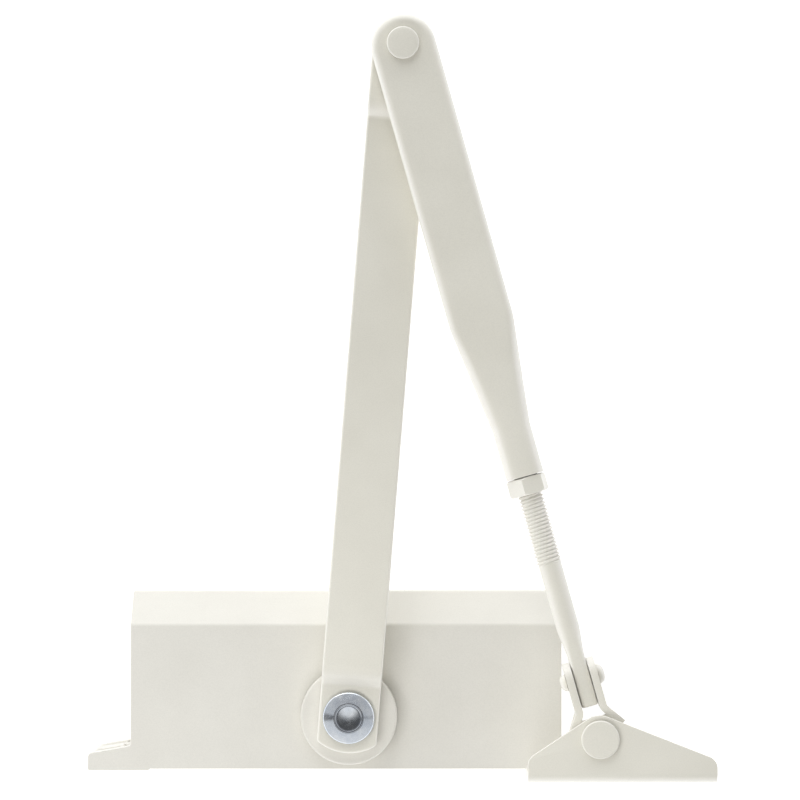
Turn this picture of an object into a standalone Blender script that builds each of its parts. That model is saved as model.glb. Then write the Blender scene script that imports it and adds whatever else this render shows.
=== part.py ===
"""Door closer with a folding arm: rack-and-pinion body, main arm, adjustable forearm, clevis and shoe.

Metres, +Z up. The body hangs on a door face at y = 0 and stands out towards -Y. The spindle is parallel to Z.
"""

import math

import bmesh
import bpy
from mathutils import Matrix, Vector

MM = 0.001
GAP = 0.3 * MM

# Body casting
BODY_LENGTH = 145.4 * MM
BODY_HEIGHT = 42 * MM
BODY_PROJECTION = 60 * MM
FACET_START = 49.3 * MM
FACET_DEPTH = 16 * MM
FOOT_LENGTH = 14.5 * MM
FOOT_TIP_THICKNESS = 5.6 * MM
FOOT_ROOT_THICKNESS = 8.1 * MM
PAD_REACH = 6 * MM
BASE_RELIEF = 0.5 * MM
CENTRE_LAND_LENGTH = 50 * MM
CENTRE_LAND_HEIGHT = 24 * MM
CENTRE_LAND_DEPTH = 5 * MM
SLOT_WIDTH = 5.5 * MM
SLOT_LENGTH = 9 * MM
SLOT_OFFSET_X = BODY_LENGTH / 2 + 7.5 * MM
SLOT_OFFSET_Z = 11 * MM

# Cylinder, piston and spring
BORE_Y = -38 * MM
BORE_RADIUS = 15 * MM
PISTON_RADIUS = 14.85 * MM
PLUG_RADIUS = 16.5 * MM
PLUG_LENGTH = 16 * MM
PLUG_RECESS = 0.4 * MM
PLUG_INNER_END = BODY_LENGTH / 2 - PLUG_LENGTH + GAP
PISTON_SPRING_END = -20 * MM
PISTON_OIL_END = 55.5 * MM
SPRING_CUP_RADIUS = 12.9 * MM
SPRING_CUP_DEPTH = 8 * MM
SPRING_RADIUS = 10.6 * MM
SPRING_WIRE_RADIUS = 1.7 * MM
SPRING_TURNS = 6
CHECK_SEAT_RADIUS = 5 * MM
CHECK_SEAT_LENGTH = 6 * MM
CHECK_BALL_RADIUS = 2.4 * MM

# Pinion and rack
SPINDLE_X = -1.0 * MM
SPINDLE_Y = -18.6 * MM
MODULE = 1.5 * MM
PINION_TEETH = 12
PRESSURE_ANGLE = math.radians(25)
ADDENDUM = 0.9 * MODULE
DEDENDUM = 1.15 * MODULE
BACKLASH = 0.16 * MODULE
GEAR_HALF_HEIGHT = 9 * MM
CHAMBER_RADIUS = 12 * MM
JOURNAL_RADIUS = 7 * MM
PITCH_RADIUS = MODULE * PINION_TEETH / 2
RACK_START = -12.5 * MM
RACK_END = 38.7 * MM
RACK_SHOULDER_Y = -31 * MM
ARM_SCREW_RADIUS = 3 * MM
ARM_SCREW_LENGTH = 14 * MM
ARM_SCREW_HEAD_RADIUS = 8.7 * MM
SQUARE_SIZE = 9.8 * MM

# Collars and seals on the spindle
COLLAR_RADIUS = 16.25 * MM
UPPER_COLLAR_TOP = 28.5 * MM
LOWER_COLLAR_BOTTOM = -24.5 * MM
COLLAR_PLUG_DEPTH = 4.7 * MM
SHAFT_SEAL_RADIUS = 8.1 * MM
SHAFT_SEAL_WIRE = 0.9 * MM

# Speed valves
VALVE_OFFSET_Z = 9 * MM
VALVE_Y = -11.5 * MM
VALVE_RADIUS = 3 * MM
VALVE_LENGTH = 22 * MM
PASSAGE_RADIUS = 1.2 * MM

# Main arm
ARM_TILT = math.radians(4.63)
ARM_CENTRES = 224.8 * MM
ARM_WIDTH = 20.1 * MM
ARM_THICKNESS = 5 * MM
ARM_END_REACH = 11.9 * MM
ARM_END_RADIUS = 16.7 * MM
ARM_LOW = 29 * MM
ARM_MIDDLE = 33 * MM
ARM_HIGH = 37.9 * MM
ARM_FIRST_JOGGLE = (12 * MM, 16.5 * MM)
ARM_SECOND_JOGGLE = (202 * MM, 206 * MM)

# Elbow and forearm
FOREARM_TILT = math.radians(15.80)
FOREARM_TOP = 51 * MM
FOREARM_HALF_WIDTH = 10.75 * MM
FOREARM_DEPTH = 7.4 * MM
FOREARM_WALL = 2 * MM
FOREARM_CORNER = 2.8 * MM
FOREARM_END_SETBACK = 0.9 * MM
TAPER_START = 96 * MM
TUBE_START = 132 * MM
TUBE_END = 148.8 * MM
TUBE_RADIUS = 6.4 * MM
ELBOW_PIN_RADIUS = 4 * MM
ELBOW_HEAD_RADIUS = 5.35 * MM

# Adjusting rod and lock nut, as distances from the elbow
CLEVIS_DISTANCE = 218.5 * MM
SHOE_DISTANCE = 238.9 * MM
ROD_RADIUS = 3.9 * MM
ROD_START = 112 * MM
SLAB_THICKNESS = 5.2 * MM
SLAB_WIDTH = 9.6 * MM
SLAB_START = SHOE_DISTANCE - 33 * MM
SLAB_END = SHOE_DISTANCE - 11 * MM
NUT_START = TUBE_END + GAP
NUT_THICKNESS = 5.9 * MM
NUT_FLATS = 12 * MM
NUT_TURN = math.radians(-16)

# Clevis and its rivet
EAR_THICKNESS = 2.4 * MM
EAR_GAP = SLAB_THICKNESS + 2 * GAP
EAR_WIDTH = 12.6 * MM
EAR_TIP_RADIUS = 6.3 * MM
EAR_BEND = 8.8 * MM
EAR_ROOT = 3.5 * MM
EAR_SPREAD = 6.7 * MM
CLEVIS_DISC_RADIUS = 8.6 * MM
CLEVIS_DISC_THICKNESS = 2.5 * MM
CROSS_RIVET_RADIUS = 2.5 * MM

# Shoe bracket, measured from its pivot
SHOE_LEFT = 23.8 * MM
SHOE_RIGHT = 38.7 * MM
SHOE_BASE_DROP = 14.3 * MM
SHOE_DOME_RADIUS = 7.8 * MM
SHOE_PLATE = 3 * MM
SHOE_BOTTOM = 23.5 * MM
SHOE_HEAD_RADIUS = 6.3 * MM
SHOE_HEAD_HEIGHT = 1.8 * MM
SHOE_PIN_RADIUS = 3.2 * MM
SHOE_SCREW_POSITIONS = (-27 * MM, 13 * MM)
SHOE_SCREW_RADIUS = 2.8 * MM
SHOE_COUNTERSINK_RADIUS = 5.2 * MM

ROD_Z = FOREARM_TOP - TUBE_RADIUS
CLEVIS_TOP = ROD_Z + EAR_WIDTH / 2
SHOE_FLANGE_BOTTOM = CLEVIS_TOP + GAP
SHOE_FLANGE_TOP = SHOE_FLANGE_BOTTOM + SHOE_PLATE

FINE = 40
MEDIUM = 24
COARSE = 16


def clear_scene():
    for obj in list(bpy.data.objects):
        bpy.data.objects.remove(obj, do_unlink=True)


def new_collection(name):
    collection = bpy.data.collections.new(name)
    bpy.context.scene.collection.children.link(collection)
    return collection


def material(name, colour, roughness, metallic):
    made = bpy.data.materials.new(name)
    made.use_nodes = True
    shader = made.node_tree.nodes["Principled BSDF"]
    shader.inputs["Base Color"].default_value = (*colour, 1)
    shader.inputs["Roughness"].default_value = roughness
    shader.inputs["Metallic"].default_value = metallic
    return made


clear_scene()
PARTS = new_collection("door_closer")
CUTTERS = new_collection("cutters")
PAINT = material("ivory_paint", (0.78, 0.76, 0.70), 0.38, 0.0)
ZINC = material("zinc_plate", (0.70, 0.72, 0.76), 0.25, 1.0)
STEEL = material("machined_steel", (0.45, 0.45, 0.46), 0.35, 1.0)
SPRING_STEEL = material("spring_steel", (0.20, 0.20, 0.22), 0.4, 1.0)
BRONZE = material("bearing_bronze", (0.62, 0.42, 0.22), 0.4, 1.0)
BRASS = material("valve_brass", (0.72, 0.58, 0.30), 0.3, 1.0)
SEAL_RUBBER = material("seal_rubber", (0.03, 0.03, 0.03), 0.7, 0.0)
CAP_PLASTIC = material("cap_plastic", (0.74, 0.72, 0.66), 0.5, 0.0)


def add_object(name, mesh, surface=None, parent=None, place=None):
    """Link a mesh as a part, or as a cutter when it has no surface."""
    obj = bpy.data.objects.new(name, mesh)
    if surface is None:
        CUTTERS.objects.link(obj)
        obj.hide_render = True
        obj.display_type = "WIRE"
    else:
        PARTS.objects.link(obj)
        mesh.materials.append(surface)
        mesh.shade_smooth()
        mesh.set_sharp_from_angle(angle=math.radians(35))
    obj.parent = parent
    if place is not None:
        obj.matrix_local = place
    return obj


def bmesh_to_mesh(bm, name):
    bmesh.ops.recalc_face_normals(bm, faces=bm.faces)
    mesh = bpy.data.meshes.new(name)
    bm.to_mesh(mesh)
    bm.free()
    return mesh


def turned(name, profile, steps):
    """A solid turned about Z from (radius, z) points, listed from the top down the outer side and back."""
    bm = bmesh.new()
    ring = [bm.verts.new((radius, 0, z)) for radius, z in profile]
    for first, second in zip(ring, ring[1:] + ring[:1]):
        if first.co.x > 0 or second.co.x > 0:
            bm.edges.new((first, second))
    bmesh.ops.spin(bm, geom=bm.verts[:] + bm.edges[:], cent=(0, 0, 0), axis=(0, 0, 1),
                   angle=math.tau, steps=steps, use_merge=True)
    bmesh.ops.remove_doubles(bm, verts=bm.verts[:], dist=0.00001)
    return bmesh_to_mesh(bm, name)


def rod(name, radius, low, high, steps):
    return turned(name, [(0, high), (radius, high), (radius, low), (0, low)], steps)


def ring(name, inner, outer, low, high, steps):
    return turned(name, [(inner, high), (outer, high), (outer, low), (inner, low)], steps)


def torus(name, radius, wire, steps, sides=6):
    turn = math.tau / sides
    profile = [(radius + wire * math.cos(turn * i), -wire * math.sin(turn * i)) for i in range(sides)]
    return turned(name, profile, steps)


def box(name, low, high):
    low, high = Vector(low), Vector(high)
    bm = bmesh.new()
    bmesh.ops.create_cube(bm, size=1)
    bmesh.ops.scale(bm, vec=high - low, verts=bm.verts)
    bmesh.ops.translate(bm, vec=(high + low) / 2, verts=bm.verts)
    return bmesh_to_mesh(bm, name)


def plate(name, outline, low, high):
    """A flat outline in XY, filled as a curve and given its thickness along Z."""
    curve = bpy.data.curves.new(name, "CURVE")
    curve.dimensions = "2D"
    curve.fill_mode = "BOTH"
    curve.extrude = (high - low) / 2
    spline = curve.splines.new("POLY")
    spline.points.add(len(outline) - 1)
    for point, (x, y) in zip(spline.points, outline):
        point.co = (x, y, 0, 1)
    spline.use_cyclic_u = True
    carrier = bpy.data.objects.new(name, curve)
    CUTTERS.objects.link(carrier)
    bpy.context.view_layer.update()
    evaluated = carrier.evaluated_get(bpy.context.evaluated_depsgraph_get())
    mesh = bpy.data.meshes.new_from_object(evaluated)
    bpy.data.objects.remove(carrier, do_unlink=True)
    bpy.data.curves.remove(curve)
    bm = bmesh.new()
    bm.from_mesh(mesh)
    bmesh.ops.remove_doubles(bm, verts=bm.verts, dist=0.00001)
    bmesh.ops.translate(bm, vec=(0, 0, (high + low) / 2), verts=bm.verts)
    bmesh.ops.dissolve_limit(bm, angle_limit=0.001, verts=bm.verts, edges=bm.edges)
    bpy.data.meshes.remove(mesh)
    return bmesh_to_mesh(bm, name)


def arc(centre, radius, start, end, steps):
    """Points on an arc, with the angles in degrees."""
    points = []
    for i in range(steps + 1):
        angle = math.radians(start + (end - start) * i / steps)
        points.append((centre[0] + radius * math.cos(angle), centre[1] + radius * math.sin(angle)))
    return points


def moved(mesh, matrix):
    mesh.transform(matrix)
    return mesh


def boolean(obj, mesh, operation="DIFFERENCE"):
    """Cut or join a mesh given in the object's own coordinates."""
    cutter = add_object(f"{obj.name}_{operation.lower()}_{len(obj.modifiers)}", mesh)
    cutter.parent = obj
    modifier = obj.modifiers.new("cut", "BOOLEAN")
    modifier.operation = operation
    modifier.solver = "EXACT"
    modifier.object = cutter


def bevel(obj, width, segments=1, angle=40):
    modifier = obj.modifiers.new("edges", "BEVEL")
    modifier.width = width
    modifier.segments = segments
    modifier.limit_method = "ANGLE"
    modifier.angle_limit = math.radians(angle)
    modifier.use_clamp_overlap = True


def along_x(x=0, y=0, z=0, towards=1):
    """Turn a Z-axis shape to lie along X, its top facing the given way."""
    return Matrix.Translation((x, y, z)) @ Matrix.Rotation(towards * math.pi / 2, 4, "Y")


SPINDLE = Matrix.Translation((SPINDLE_X, SPINDLE_Y, 0))
UPRIGHT = Matrix(((0, 0, 1, 0), (1, 0, 0, 0), (0, 1, 0, 0), (0, 0, 0, 1)))


def casting_outline():
    """The body, its two feet and the shallow relief of the back, seen down the spindle."""
    tip = BODY_LENGTH / 2 + FOOT_LENGTH
    end = BODY_LENGTH / 2
    pad = BODY_LENGTH / 2 - PAD_REACH
    half = [(pad - BASE_RELIEF, -BASE_RELIEF), (pad, 0), (tip, 0), (tip, -FOOT_TIP_THICKNESS),
            (end, -FOOT_ROOT_THICKNESS), (end, -BODY_PROJECTION)]
    return half + [(-x, y) for x, y in reversed(half)]


def facet_cutter(side):
    """A bar along X whose inner face is the facet's plane."""
    start = Vector((-FACET_START, side * BODY_HEIGHT / 2))
    end = Vector((-BODY_PROJECTION, side * (BODY_HEIGHT / 2 - FACET_DEPTH)))
    along = (end - start).normalized()
    outward = Vector((-abs(along.y), -side * along.x))
    over = 8 * MM
    corners = [start - over * along, end + over * along, end + over * along + 3 * over * outward,
               start - over * along + 3 * over * outward]
    bar = plate("facet", [tuple(corner) for corner in corners], -BODY_LENGTH, BODY_LENGTH)
    return moved(bar, UPRIGHT)


def make_housing():
    half_height = BODY_HEIGHT / 2
    housing = add_object("housing", plate("housing", casting_outline(), -half_height, half_height), PAINT)
    for side in (-1, 1):
        boolean(housing, facet_cutter(side))
    bevel(housing, 0.8 * MM, 2, 30)
    reach = CENTRE_LAND_LENGTH / 2
    rise = CENTRE_LAND_HEIGHT / 2
    boolean(housing, box("centre_land", (-reach, -CENTRE_LAND_DEPTH, -rise), (reach, 0, rise)), "UNION")
    seat = BODY_LENGTH / 2 - PLUG_LENGTH
    wide = PLUG_RADIUS + GAP
    stepped_bore = [(0, BODY_LENGTH), (wide, BODY_LENGTH), (wide, seat), (BORE_RADIUS, seat),
                    (BORE_RADIUS, -seat), (wide, -seat), (wide, -BODY_LENGTH), (0, -BODY_LENGTH)]
    boolean(housing, moved(turned("stepped_bore", stepped_bore, FINE), along_x(0, BORE_Y)))
    boolean(housing, moved(rod("chamber", CHAMBER_RADIUS, -BODY_HEIGHT, BODY_HEIGHT, FINE), SPINDLE))
    for side in (-1, 1):
        for level in (-1, 1):
            slot = slot_outline(SLOT_LENGTH, SLOT_WIDTH)
            mesh = plate("slot", slot, -BODY_PROJECTION, 2 * MM)
            lie = Matrix.Rotation(-math.pi / 2, 4, "X")
            at = Matrix.Translation((side * SLOT_OFFSET_X, 0, level * SLOT_OFFSET_Z))
            boolean(housing, moved(moved(mesh, lie), at))
    for level in (-1, 1):
        valve_bore = rod("valve_bore", VALVE_RADIUS + GAP, -VALVE_LENGTH - GAP, VALVE_LENGTH, COARSE)
        boolean(housing, moved(valve_bore, along_x(BODY_LENGTH / 2, VALVE_Y, level * VALVE_OFFSET_Z)))
        passage = rod("passage", PASSAGE_RADIUS, 0, -BORE_Y + VALVE_Y, 8)
        down = Matrix.Rotation(math.pi / 2, 4, "X")
        at = Matrix.Translation((BODY_LENGTH / 2 - VALVE_LENGTH + MM, VALVE_Y, level * VALVE_OFFSET_Z))
        boolean(housing, moved(moved(passage, down), at))
    return housing


def slot_outline(length, width):
    straight = (length - width) / 2
    return arc((straight, 0), width / 2, -90, 90, 8) + arc((-straight, 0), width / 2, 90, 270, 8)


def make_end_plug(name, side):
    groove = 2.4 * MM
    seat = PLUG_LENGTH - 4 * MM
    face = BODY_LENGTH / 2 - PLUG_RECESS
    inner_end = PLUG_INNER_END - face
    profile = [(0, 0), (PLUG_RADIUS - 0.6 * MM, 0), (PLUG_RADIUS, -0.6 * MM), (PLUG_RADIUS, -seat + groove),
               (PLUG_RADIUS - 1.8 * MM, -seat + groove), (PLUG_RADIUS - 1.8 * MM, -seat),
               (PLUG_RADIUS, -seat), (PLUG_RADIUS, inner_end), (0, inner_end)]
    plug = add_object(name, turned(name, profile, FINE), STEEL, place=along_x(side * face, BORE_Y, 0, side))
    socket = plate("socket", arc((0, 0), 5.8 * MM, 0, 300, 5), -6 * MM, 2 * MM)
    boolean(plug, socket)
    return plug


def make_plug_seal(name, side):
    distance = BODY_LENGTH / 2 - PLUG_RECESS - (PLUG_LENGTH - 4 * MM) + 1.2 * MM
    mesh = torus(name, PLUG_RADIUS - 0.75 * MM, 0.85 * MM, MEDIUM)
    return add_object(name, mesh, SEAL_RUBBER, place=along_x(side * distance, BORE_Y))


def collar_profile(low, high, plug_end):
    """A flanged ring between two heights, with a bored plug that reaches into the chamber."""
    step = BODY_HEIGHT / 2 + GAP
    return [(JOURNAL_RADIUS + GAP, high), (COLLAR_RADIUS - MM, high), (COLLAR_RADIUS, high - MM),
            (COLLAR_RADIUS, low), (CHAMBER_RADIUS - GAP, low), (CHAMBER_RADIUS - GAP, plug_end),
            (SHAFT_SEAL_RADIUS + SHAFT_SEAL_WIRE + 0.2 * MM, plug_end),
            (SHAFT_SEAL_RADIUS + SHAFT_SEAL_WIRE + 0.2 * MM, step),
            (JOURNAL_RADIUS + GAP, step)]


def make_collar(name, height, surface):
    low = BODY_HEIGHT / 2 + GAP
    profile = collar_profile(low, height, low - GAP - COLLAR_PLUG_DEPTH)
    mesh = turned(name, profile, FINE)
    flip = Matrix.Identity(4)
    if name.startswith("lower"):
        flip = Matrix.Rotation(math.pi, 4, "X")
    return add_object(name, moved(mesh, flip), surface, place=SPINDLE)


def make_bearings_and_seals():
    for name, side in (("upper", 1), ("lower", -1)):
        inner_end = GEAR_HALF_HEIGHT + GAP
        outer_end = BODY_HEIGHT / 2 - COLLAR_PLUG_DEPTH - GAP
        low, high = sorted((side * inner_end, side * outer_end))
        bore = JOURNAL_RADIUS + 0.05 * MM
        bearing = ring(f"{name}_bearing", bore, CHAMBER_RADIUS - 0.15 * MM, low, high, FINE)
        add_object(f"{name}_bearing", bearing, BRONZE, place=SPINDLE)
        seal = torus(f"{name}_shaft_seal", SHAFT_SEAL_RADIUS, SHAFT_SEAL_WIRE, MEDIUM)
        level = side * (BODY_HEIGHT / 2 - 2 * MM)
        add_object(f"{name}_shaft_seal", seal, SEAL_RUBBER, place=SPINDLE @ Matrix.Translation((0, 0, level)))


def make_spindle_end_cap():
    top = LOWER_COLLAR_BOTTOM - GAP
    profile = [(0, top), (9 * MM, top), (9 * MM, top - 1.2 * MM), (7.6 * MM, top - 2.4 * MM),
               (0, top - 2.8 * MM)]
    add_object("spindle_end_cap", turned("spindle_end_cap", profile, MEDIUM), CAP_PLASTIC, place=SPINDLE)


def make_valve(name, level):
    place = along_x(BODY_LENGTH / 2 - 0.6 * MM, VALVE_Y, level * VALVE_OFFSET_Z)
    groove = 3.4 * MM
    profile = [(0, 0), (VALVE_RADIUS - 0.4 * MM, 0), (VALVE_RADIUS, -0.4 * MM), (VALVE_RADIUS, -groove),
               (VALVE_RADIUS - MM, -groove), (VALVE_RADIUS - MM, -groove - 1.6 * MM),
               (VALVE_RADIUS, -groove - 1.6 * MM), (VALVE_RADIUS, -14 * MM), (1.6 * MM, -16 * MM),
               (1.0 * MM, -20 * MM), (0, -20.5 * MM)]
    valve = add_object(name, turned(name, profile, COARSE), BRASS, place=place)
    boolean(valve, box("slot", (-4 * MM, -0.5 * MM, -1.4 * MM), (4 * MM, 0.5 * MM, MM)))
    seal_place = place @ Matrix.Translation((0, 0, -groove - 0.8 * MM))
    seal = torus(f"{name}_seal", VALVE_RADIUS - 0.35 * MM, 0.55 * MM, COARSE)
    add_object(f"{name}_seal", seal, SEAL_RUBBER, place=seal_place)


def gear_outline():
    """Involute teeth, one tooth's flanks turned round the pinion, with a tooth on the -Y side."""
    base = PITCH_RADIUS * math.cos(PRESSURE_ANGLE)
    root = PITCH_RADIUS - DEDENDUM
    tip = PITCH_RADIUS + ADDENDUM
    involute = math.tan(PRESSURE_ANGLE) - PRESSURE_ANGLE
    half_pitch = (math.pi * MODULE - BACKLASH) / 4 / PITCH_RADIUS
    steps = 5
    flank = [(root, half_pitch + involute)]
    for i in range(steps + 1):
        radius = max(base, root) + (tip - max(base, root)) * i / steps
        roll = math.acos(min(1, base / radius))
        flank.append((radius, half_pitch + involute - (math.tan(roll) - roll)))
    points = []
    for tooth in range(PINION_TEETH):
        centre = -math.pi / 2 + math.tau * tooth / PINION_TEETH
        for radius, angle in flank:
            points.append((radius * math.cos(centre - angle), radius * math.sin(centre - angle)))
        for radius, angle in reversed(flank):
            points.append((radius * math.cos(centre + angle), radius * math.sin(centre + angle)))
    return points


def rack_outline():
    """The milled channel above the rack, down to its teeth, with a tooth gap opposite the pinion's tooth."""
    pitch = math.pi * MODULE
    line = SPINDLE_Y - PITCH_RADIUS
    tooth = (pitch - BACKLASH) / 2
    slope = math.tan(PRESSURE_ANGLE)
    tip_half = tooth / 2 - ADDENDUM * slope
    root_half = tooth / 2 + DEDENDUM * slope
    points = [(RACK_START, 0), (RACK_START, line - DEDENDUM)]
    first = math.ceil((RACK_START - SPINDLE_X + root_half) / pitch - 0.5)
    last = math.floor((RACK_END - SPINDLE_X - root_half) / pitch - 0.5)
    for index in range(first, last + 1):
        centre = SPINDLE_X + (index + 0.5) * pitch
        points += [(centre - root_half, line - DEDENDUM), (centre - tip_half, line + ADDENDUM),
                   (centre + tip_half, line + ADDENDUM), (centre + root_half, line - DEDENDUM)]
    points += [(RACK_END, line - DEDENDUM), (RACK_END, 0)]
    return points


def make_piston():
    length = PISTON_OIL_END - PISTON_SPRING_END
    body = rod("piston", PISTON_RADIUS, PISTON_SPRING_END, PISTON_OIL_END, FINE)
    matrix = along_x(0, BORE_Y)
    piston = add_object("piston", moved(body, matrix), STEEL)
    boolean(piston, plate("rack_channel", rack_outline(), -BORE_RADIUS - MM, BORE_RADIUS + MM))
    for side in (-1, 1):
        ends = sorted((side * (GEAR_HALF_HEIGHT + GAP / 2), side * (BORE_RADIUS + 2 * MM)))
        shoulder = box("shoulder", (RACK_START + 0.05 * MM, RACK_SHOULDER_Y, ends[0]),
                       (RACK_END - 0.05 * MM, MM, ends[1]))
        boolean(piston, shoulder)
    cup_end = PISTON_SPRING_END + SPRING_CUP_DEPTH
    cup = rod("spring_cup", SPRING_CUP_RADIUS, PISTON_SPRING_END - length, cup_end, MEDIUM)
    boolean(piston, moved(cup, matrix))
    seat = rod("check_seat_bore", CHECK_SEAT_RADIUS + 0.1 * MM, PISTON_OIL_END - CHECK_SEAT_LENGTH - 6 * MM,
               PISTON_OIL_END + MM, COARSE)
    boolean(piston, moved(seat, matrix))
    drilling = rod("check_drilling", 2 * MM, RACK_END - MM, PISTON_OIL_END, 12)
    boolean(piston, moved(drilling, matrix))
    seat_profile = [(1.4 * MM, PISTON_OIL_END), (CHECK_SEAT_RADIUS, PISTON_OIL_END),
                    (CHECK_SEAT_RADIUS, PISTON_OIL_END - CHECK_SEAT_LENGTH),
                    (2.2 * MM, PISTON_OIL_END - CHECK_SEAT_LENGTH),
                    (1.4 * MM, PISTON_OIL_END - CHECK_SEAT_LENGTH + 1.6 * MM)]
    add_object("check_valve_seat", moved(turned("check_valve_seat", seat_profile, COARSE), matrix), BRASS)
    bm = bmesh.new()
    bmesh.ops.create_uvsphere(bm, u_segments=10, v_segments=6, radius=CHECK_BALL_RADIUS)
    at = PISTON_OIL_END - CHECK_SEAT_LENGTH - CHECK_BALL_RADIUS - 0.4 * MM
    ball = bmesh_to_mesh(bm, "check_valve_ball")
    add_object("check_valve_ball", ball, STEEL, place=Matrix.Translation((at, BORE_Y, 0)))


def make_spring():
    start = -PLUG_INNER_END + SPRING_WIRE_RADIUS + GAP
    end = PISTON_SPRING_END + SPRING_CUP_DEPTH - SPRING_WIRE_RADIUS - GAP
    per_turn = 14
    count = SPRING_TURNS * per_turn
    curve = bpy.data.curves.new("return_spring", "CURVE")
    curve.dimensions = "3D"
    curve.bevel_depth = SPRING_WIRE_RADIUS
    curve.bevel_resolution = 2
    curve.use_fill_caps = True
    spline = curve.splines.new("POLY")
    spline.points.add(count)
    for i, point in enumerate(spline.points):
        angle = math.tau * i / per_turn
        x = start + (end - start) * i / count
        point.co = (x, BORE_Y + SPRING_RADIUS * math.cos(angle), SPRING_RADIUS * math.sin(angle), 1)
    spring = bpy.data.objects.new("return_spring", curve)
    curve.materials.append(SPRING_STEEL)
    PARTS.objects.link(spring)


def square_outline(size):
    half = size / 2
    return [(-half, -half), (half, -half), (half, half), (-half, half)]


def make_pinion():
    low = LOWER_COLLAR_BOTTOM + MM
    high = UPPER_COLLAR_TOP - 0.2 * MM
    shaft = rod("pinion_shaft", JOURNAL_RADIUS, low, high, MEDIUM)
    pinion = add_object("pinion_shaft", shaft, STEEL, place=SPINDLE)
    boolean(pinion, plate("teeth", gear_outline(), -GEAR_HALF_HEIGHT, GEAR_HALF_HEIGHT), "UNION")
    square_top = ARM_LOW + ARM_THICKNESS - GAP
    square = plate("square", square_outline(SQUARE_SIZE), UPPER_COLLAR_TOP - 6 * MM, square_top)
    turn = Matrix.Rotation(-ARM_TILT, 4, "Z")
    boolean(pinion, moved(square, turn), "UNION")
    hole = ARM_SCREW_RADIUS + 0.2 * MM
    boolean(pinion, rod("screw_hole", hole, ARM_LOW - 12 * MM, ARM_LOW + 2 * ARM_THICKNESS, COARSE))


def arm_side():
    """Centre-line heights of the joggled bar, as (distance from the spindle, underside height)."""
    return [(-20 * MM, ARM_LOW), (ARM_FIRST_JOGGLE[0], ARM_LOW), (ARM_FIRST_JOGGLE[1], ARM_MIDDLE),
            (ARM_SECOND_JOGGLE[0], ARM_MIDDLE), (ARM_SECOND_JOGGLE[1], ARM_HIGH),
            (ARM_CENTRES + 20 * MM, ARM_HIGH)]


def arm_frame():
    return SPINDLE @ Matrix.Rotation(-ARM_TILT, 4, "Z")


def make_main_arm():
    """The bar's own X runs across it, and its -Y runs from the spindle to the elbow."""
    under = [(-y, z) for y, z in arm_side()]
    over = [(-y, z + ARM_THICKNESS) for y, z in reversed(arm_side())]
    side_view = plate("main_arm", under + over, -ARM_WIDTH, ARM_WIDTH)
    half = ARM_WIDTH / 2
    reach = math.degrees(math.asin(half / ARM_END_RADIUS))
    spindle_end = arc((0, ARM_END_REACH - ARM_END_RADIUS), ARM_END_RADIUS, 90 + reach, 90 - reach, 8)
    elbow_end = arc((0, FOREARM_END_SETBACK - ARM_CENTRES), half, 0, -180, 16)
    outline = spindle_end + elbow_end
    arm = add_object("main_arm", moved(side_view, UPRIGHT), PAINT, place=arm_frame())
    boolean(arm, plate("arm_outline", outline, 0, BODY_PROJECTION), "INTERSECT")
    bevel(arm, 0.9 * MM, 2, 50)
    boolean(arm, plate("square_hole", square_outline(SQUARE_SIZE + 2 * GAP), 0, ARM_MIDDLE + ARM_THICKNESS))
    elbow = Matrix.Translation((0, -ARM_CENTRES, 0))
    boolean(arm, moved(rod("rivet_hole", ELBOW_PIN_RADIUS + GAP, 0, BODY_PROJECTION, COARSE), elbow))


def make_arm_screw():
    seat = ARM_LOW + ARM_THICKNESS + GAP
    top = seat + 3.4 * MM
    rim = ARM_SCREW_HEAD_RADIUS
    end = seat - ARM_SCREW_LENGTH
    profile = [(0, top - 0.5 * MM), (4.7 * MM, top - 0.5 * MM), (5.1 * MM, top),
               (rim - 0.6 * MM, top - 1.2 * MM), (rim, top - 1.7 * MM), (rim, seat),
               (ARM_SCREW_RADIUS, seat), (ARM_SCREW_RADIUS, end), (0, end)]
    screw = add_object("arm_screw", turned("arm_screw", profile, MEDIUM), ZINC, place=SPINDLE)
    boolean(screw, plate("hex_socket", arc((0, 0), 4.2 * MM, 0, 300, 5), top - 2.5 * MM, top + MM))


ELBOW = arm_frame() @ Matrix.Translation((0, -ARM_CENTRES, 0))
ELBOW_PLACE = Matrix.Translation(ELBOW.translation) @ Matrix.Rotation(FOREARM_TILT, 4, "Z")


def forearm_section(distance):
    """Half of the pressed section, from the free edge up the side and in to the middle: (across, height)."""
    share = min(1, max(0, (distance - TAPER_START) / (TUBE_START - TAPER_START)))
    width = FOREARM_HALF_WIDTH + (TUBE_RADIUS - FOREARM_HALF_WIDTH) * share
    curl = share * share * (3 - 2 * share)
    channel = [(width, FOREARM_TOP - FOREARM_DEPTH), (width, FOREARM_TOP - FOREARM_DEPTH * 0.65),
               (width, FOREARM_TOP - FOREARM_CORNER)]
    channel += [(width - FOREARM_CORNER * (1 - math.cos(math.radians(a))),
                 FOREARM_TOP - FOREARM_CORNER * (1 - math.sin(math.radians(a)))) for a in (30, 60, 90)]
    channel += [((width - FOREARM_CORNER) * 0.5, FOREARM_TOP), (0, FOREARM_TOP)]
    section = []
    for (across, height), rolled in zip(channel, (-86, -52, -20, 5, 27, 48, 69, 90)):
        radius = math.hypot(across, height - ROD_Z)
        angle = math.atan2(height - ROD_Z, across)
        radius += (TUBE_RADIUS - radius) * curl
        angle += (math.radians(rolled) - angle) * curl
        section.append((radius * math.cos(angle), ROD_Z + radius * math.sin(angle)))
    widest = max(across for across, height in section)
    section[-1] = (0, FOREARM_TOP)
    return [(across * width / widest, height) for across, height in section]


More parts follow.
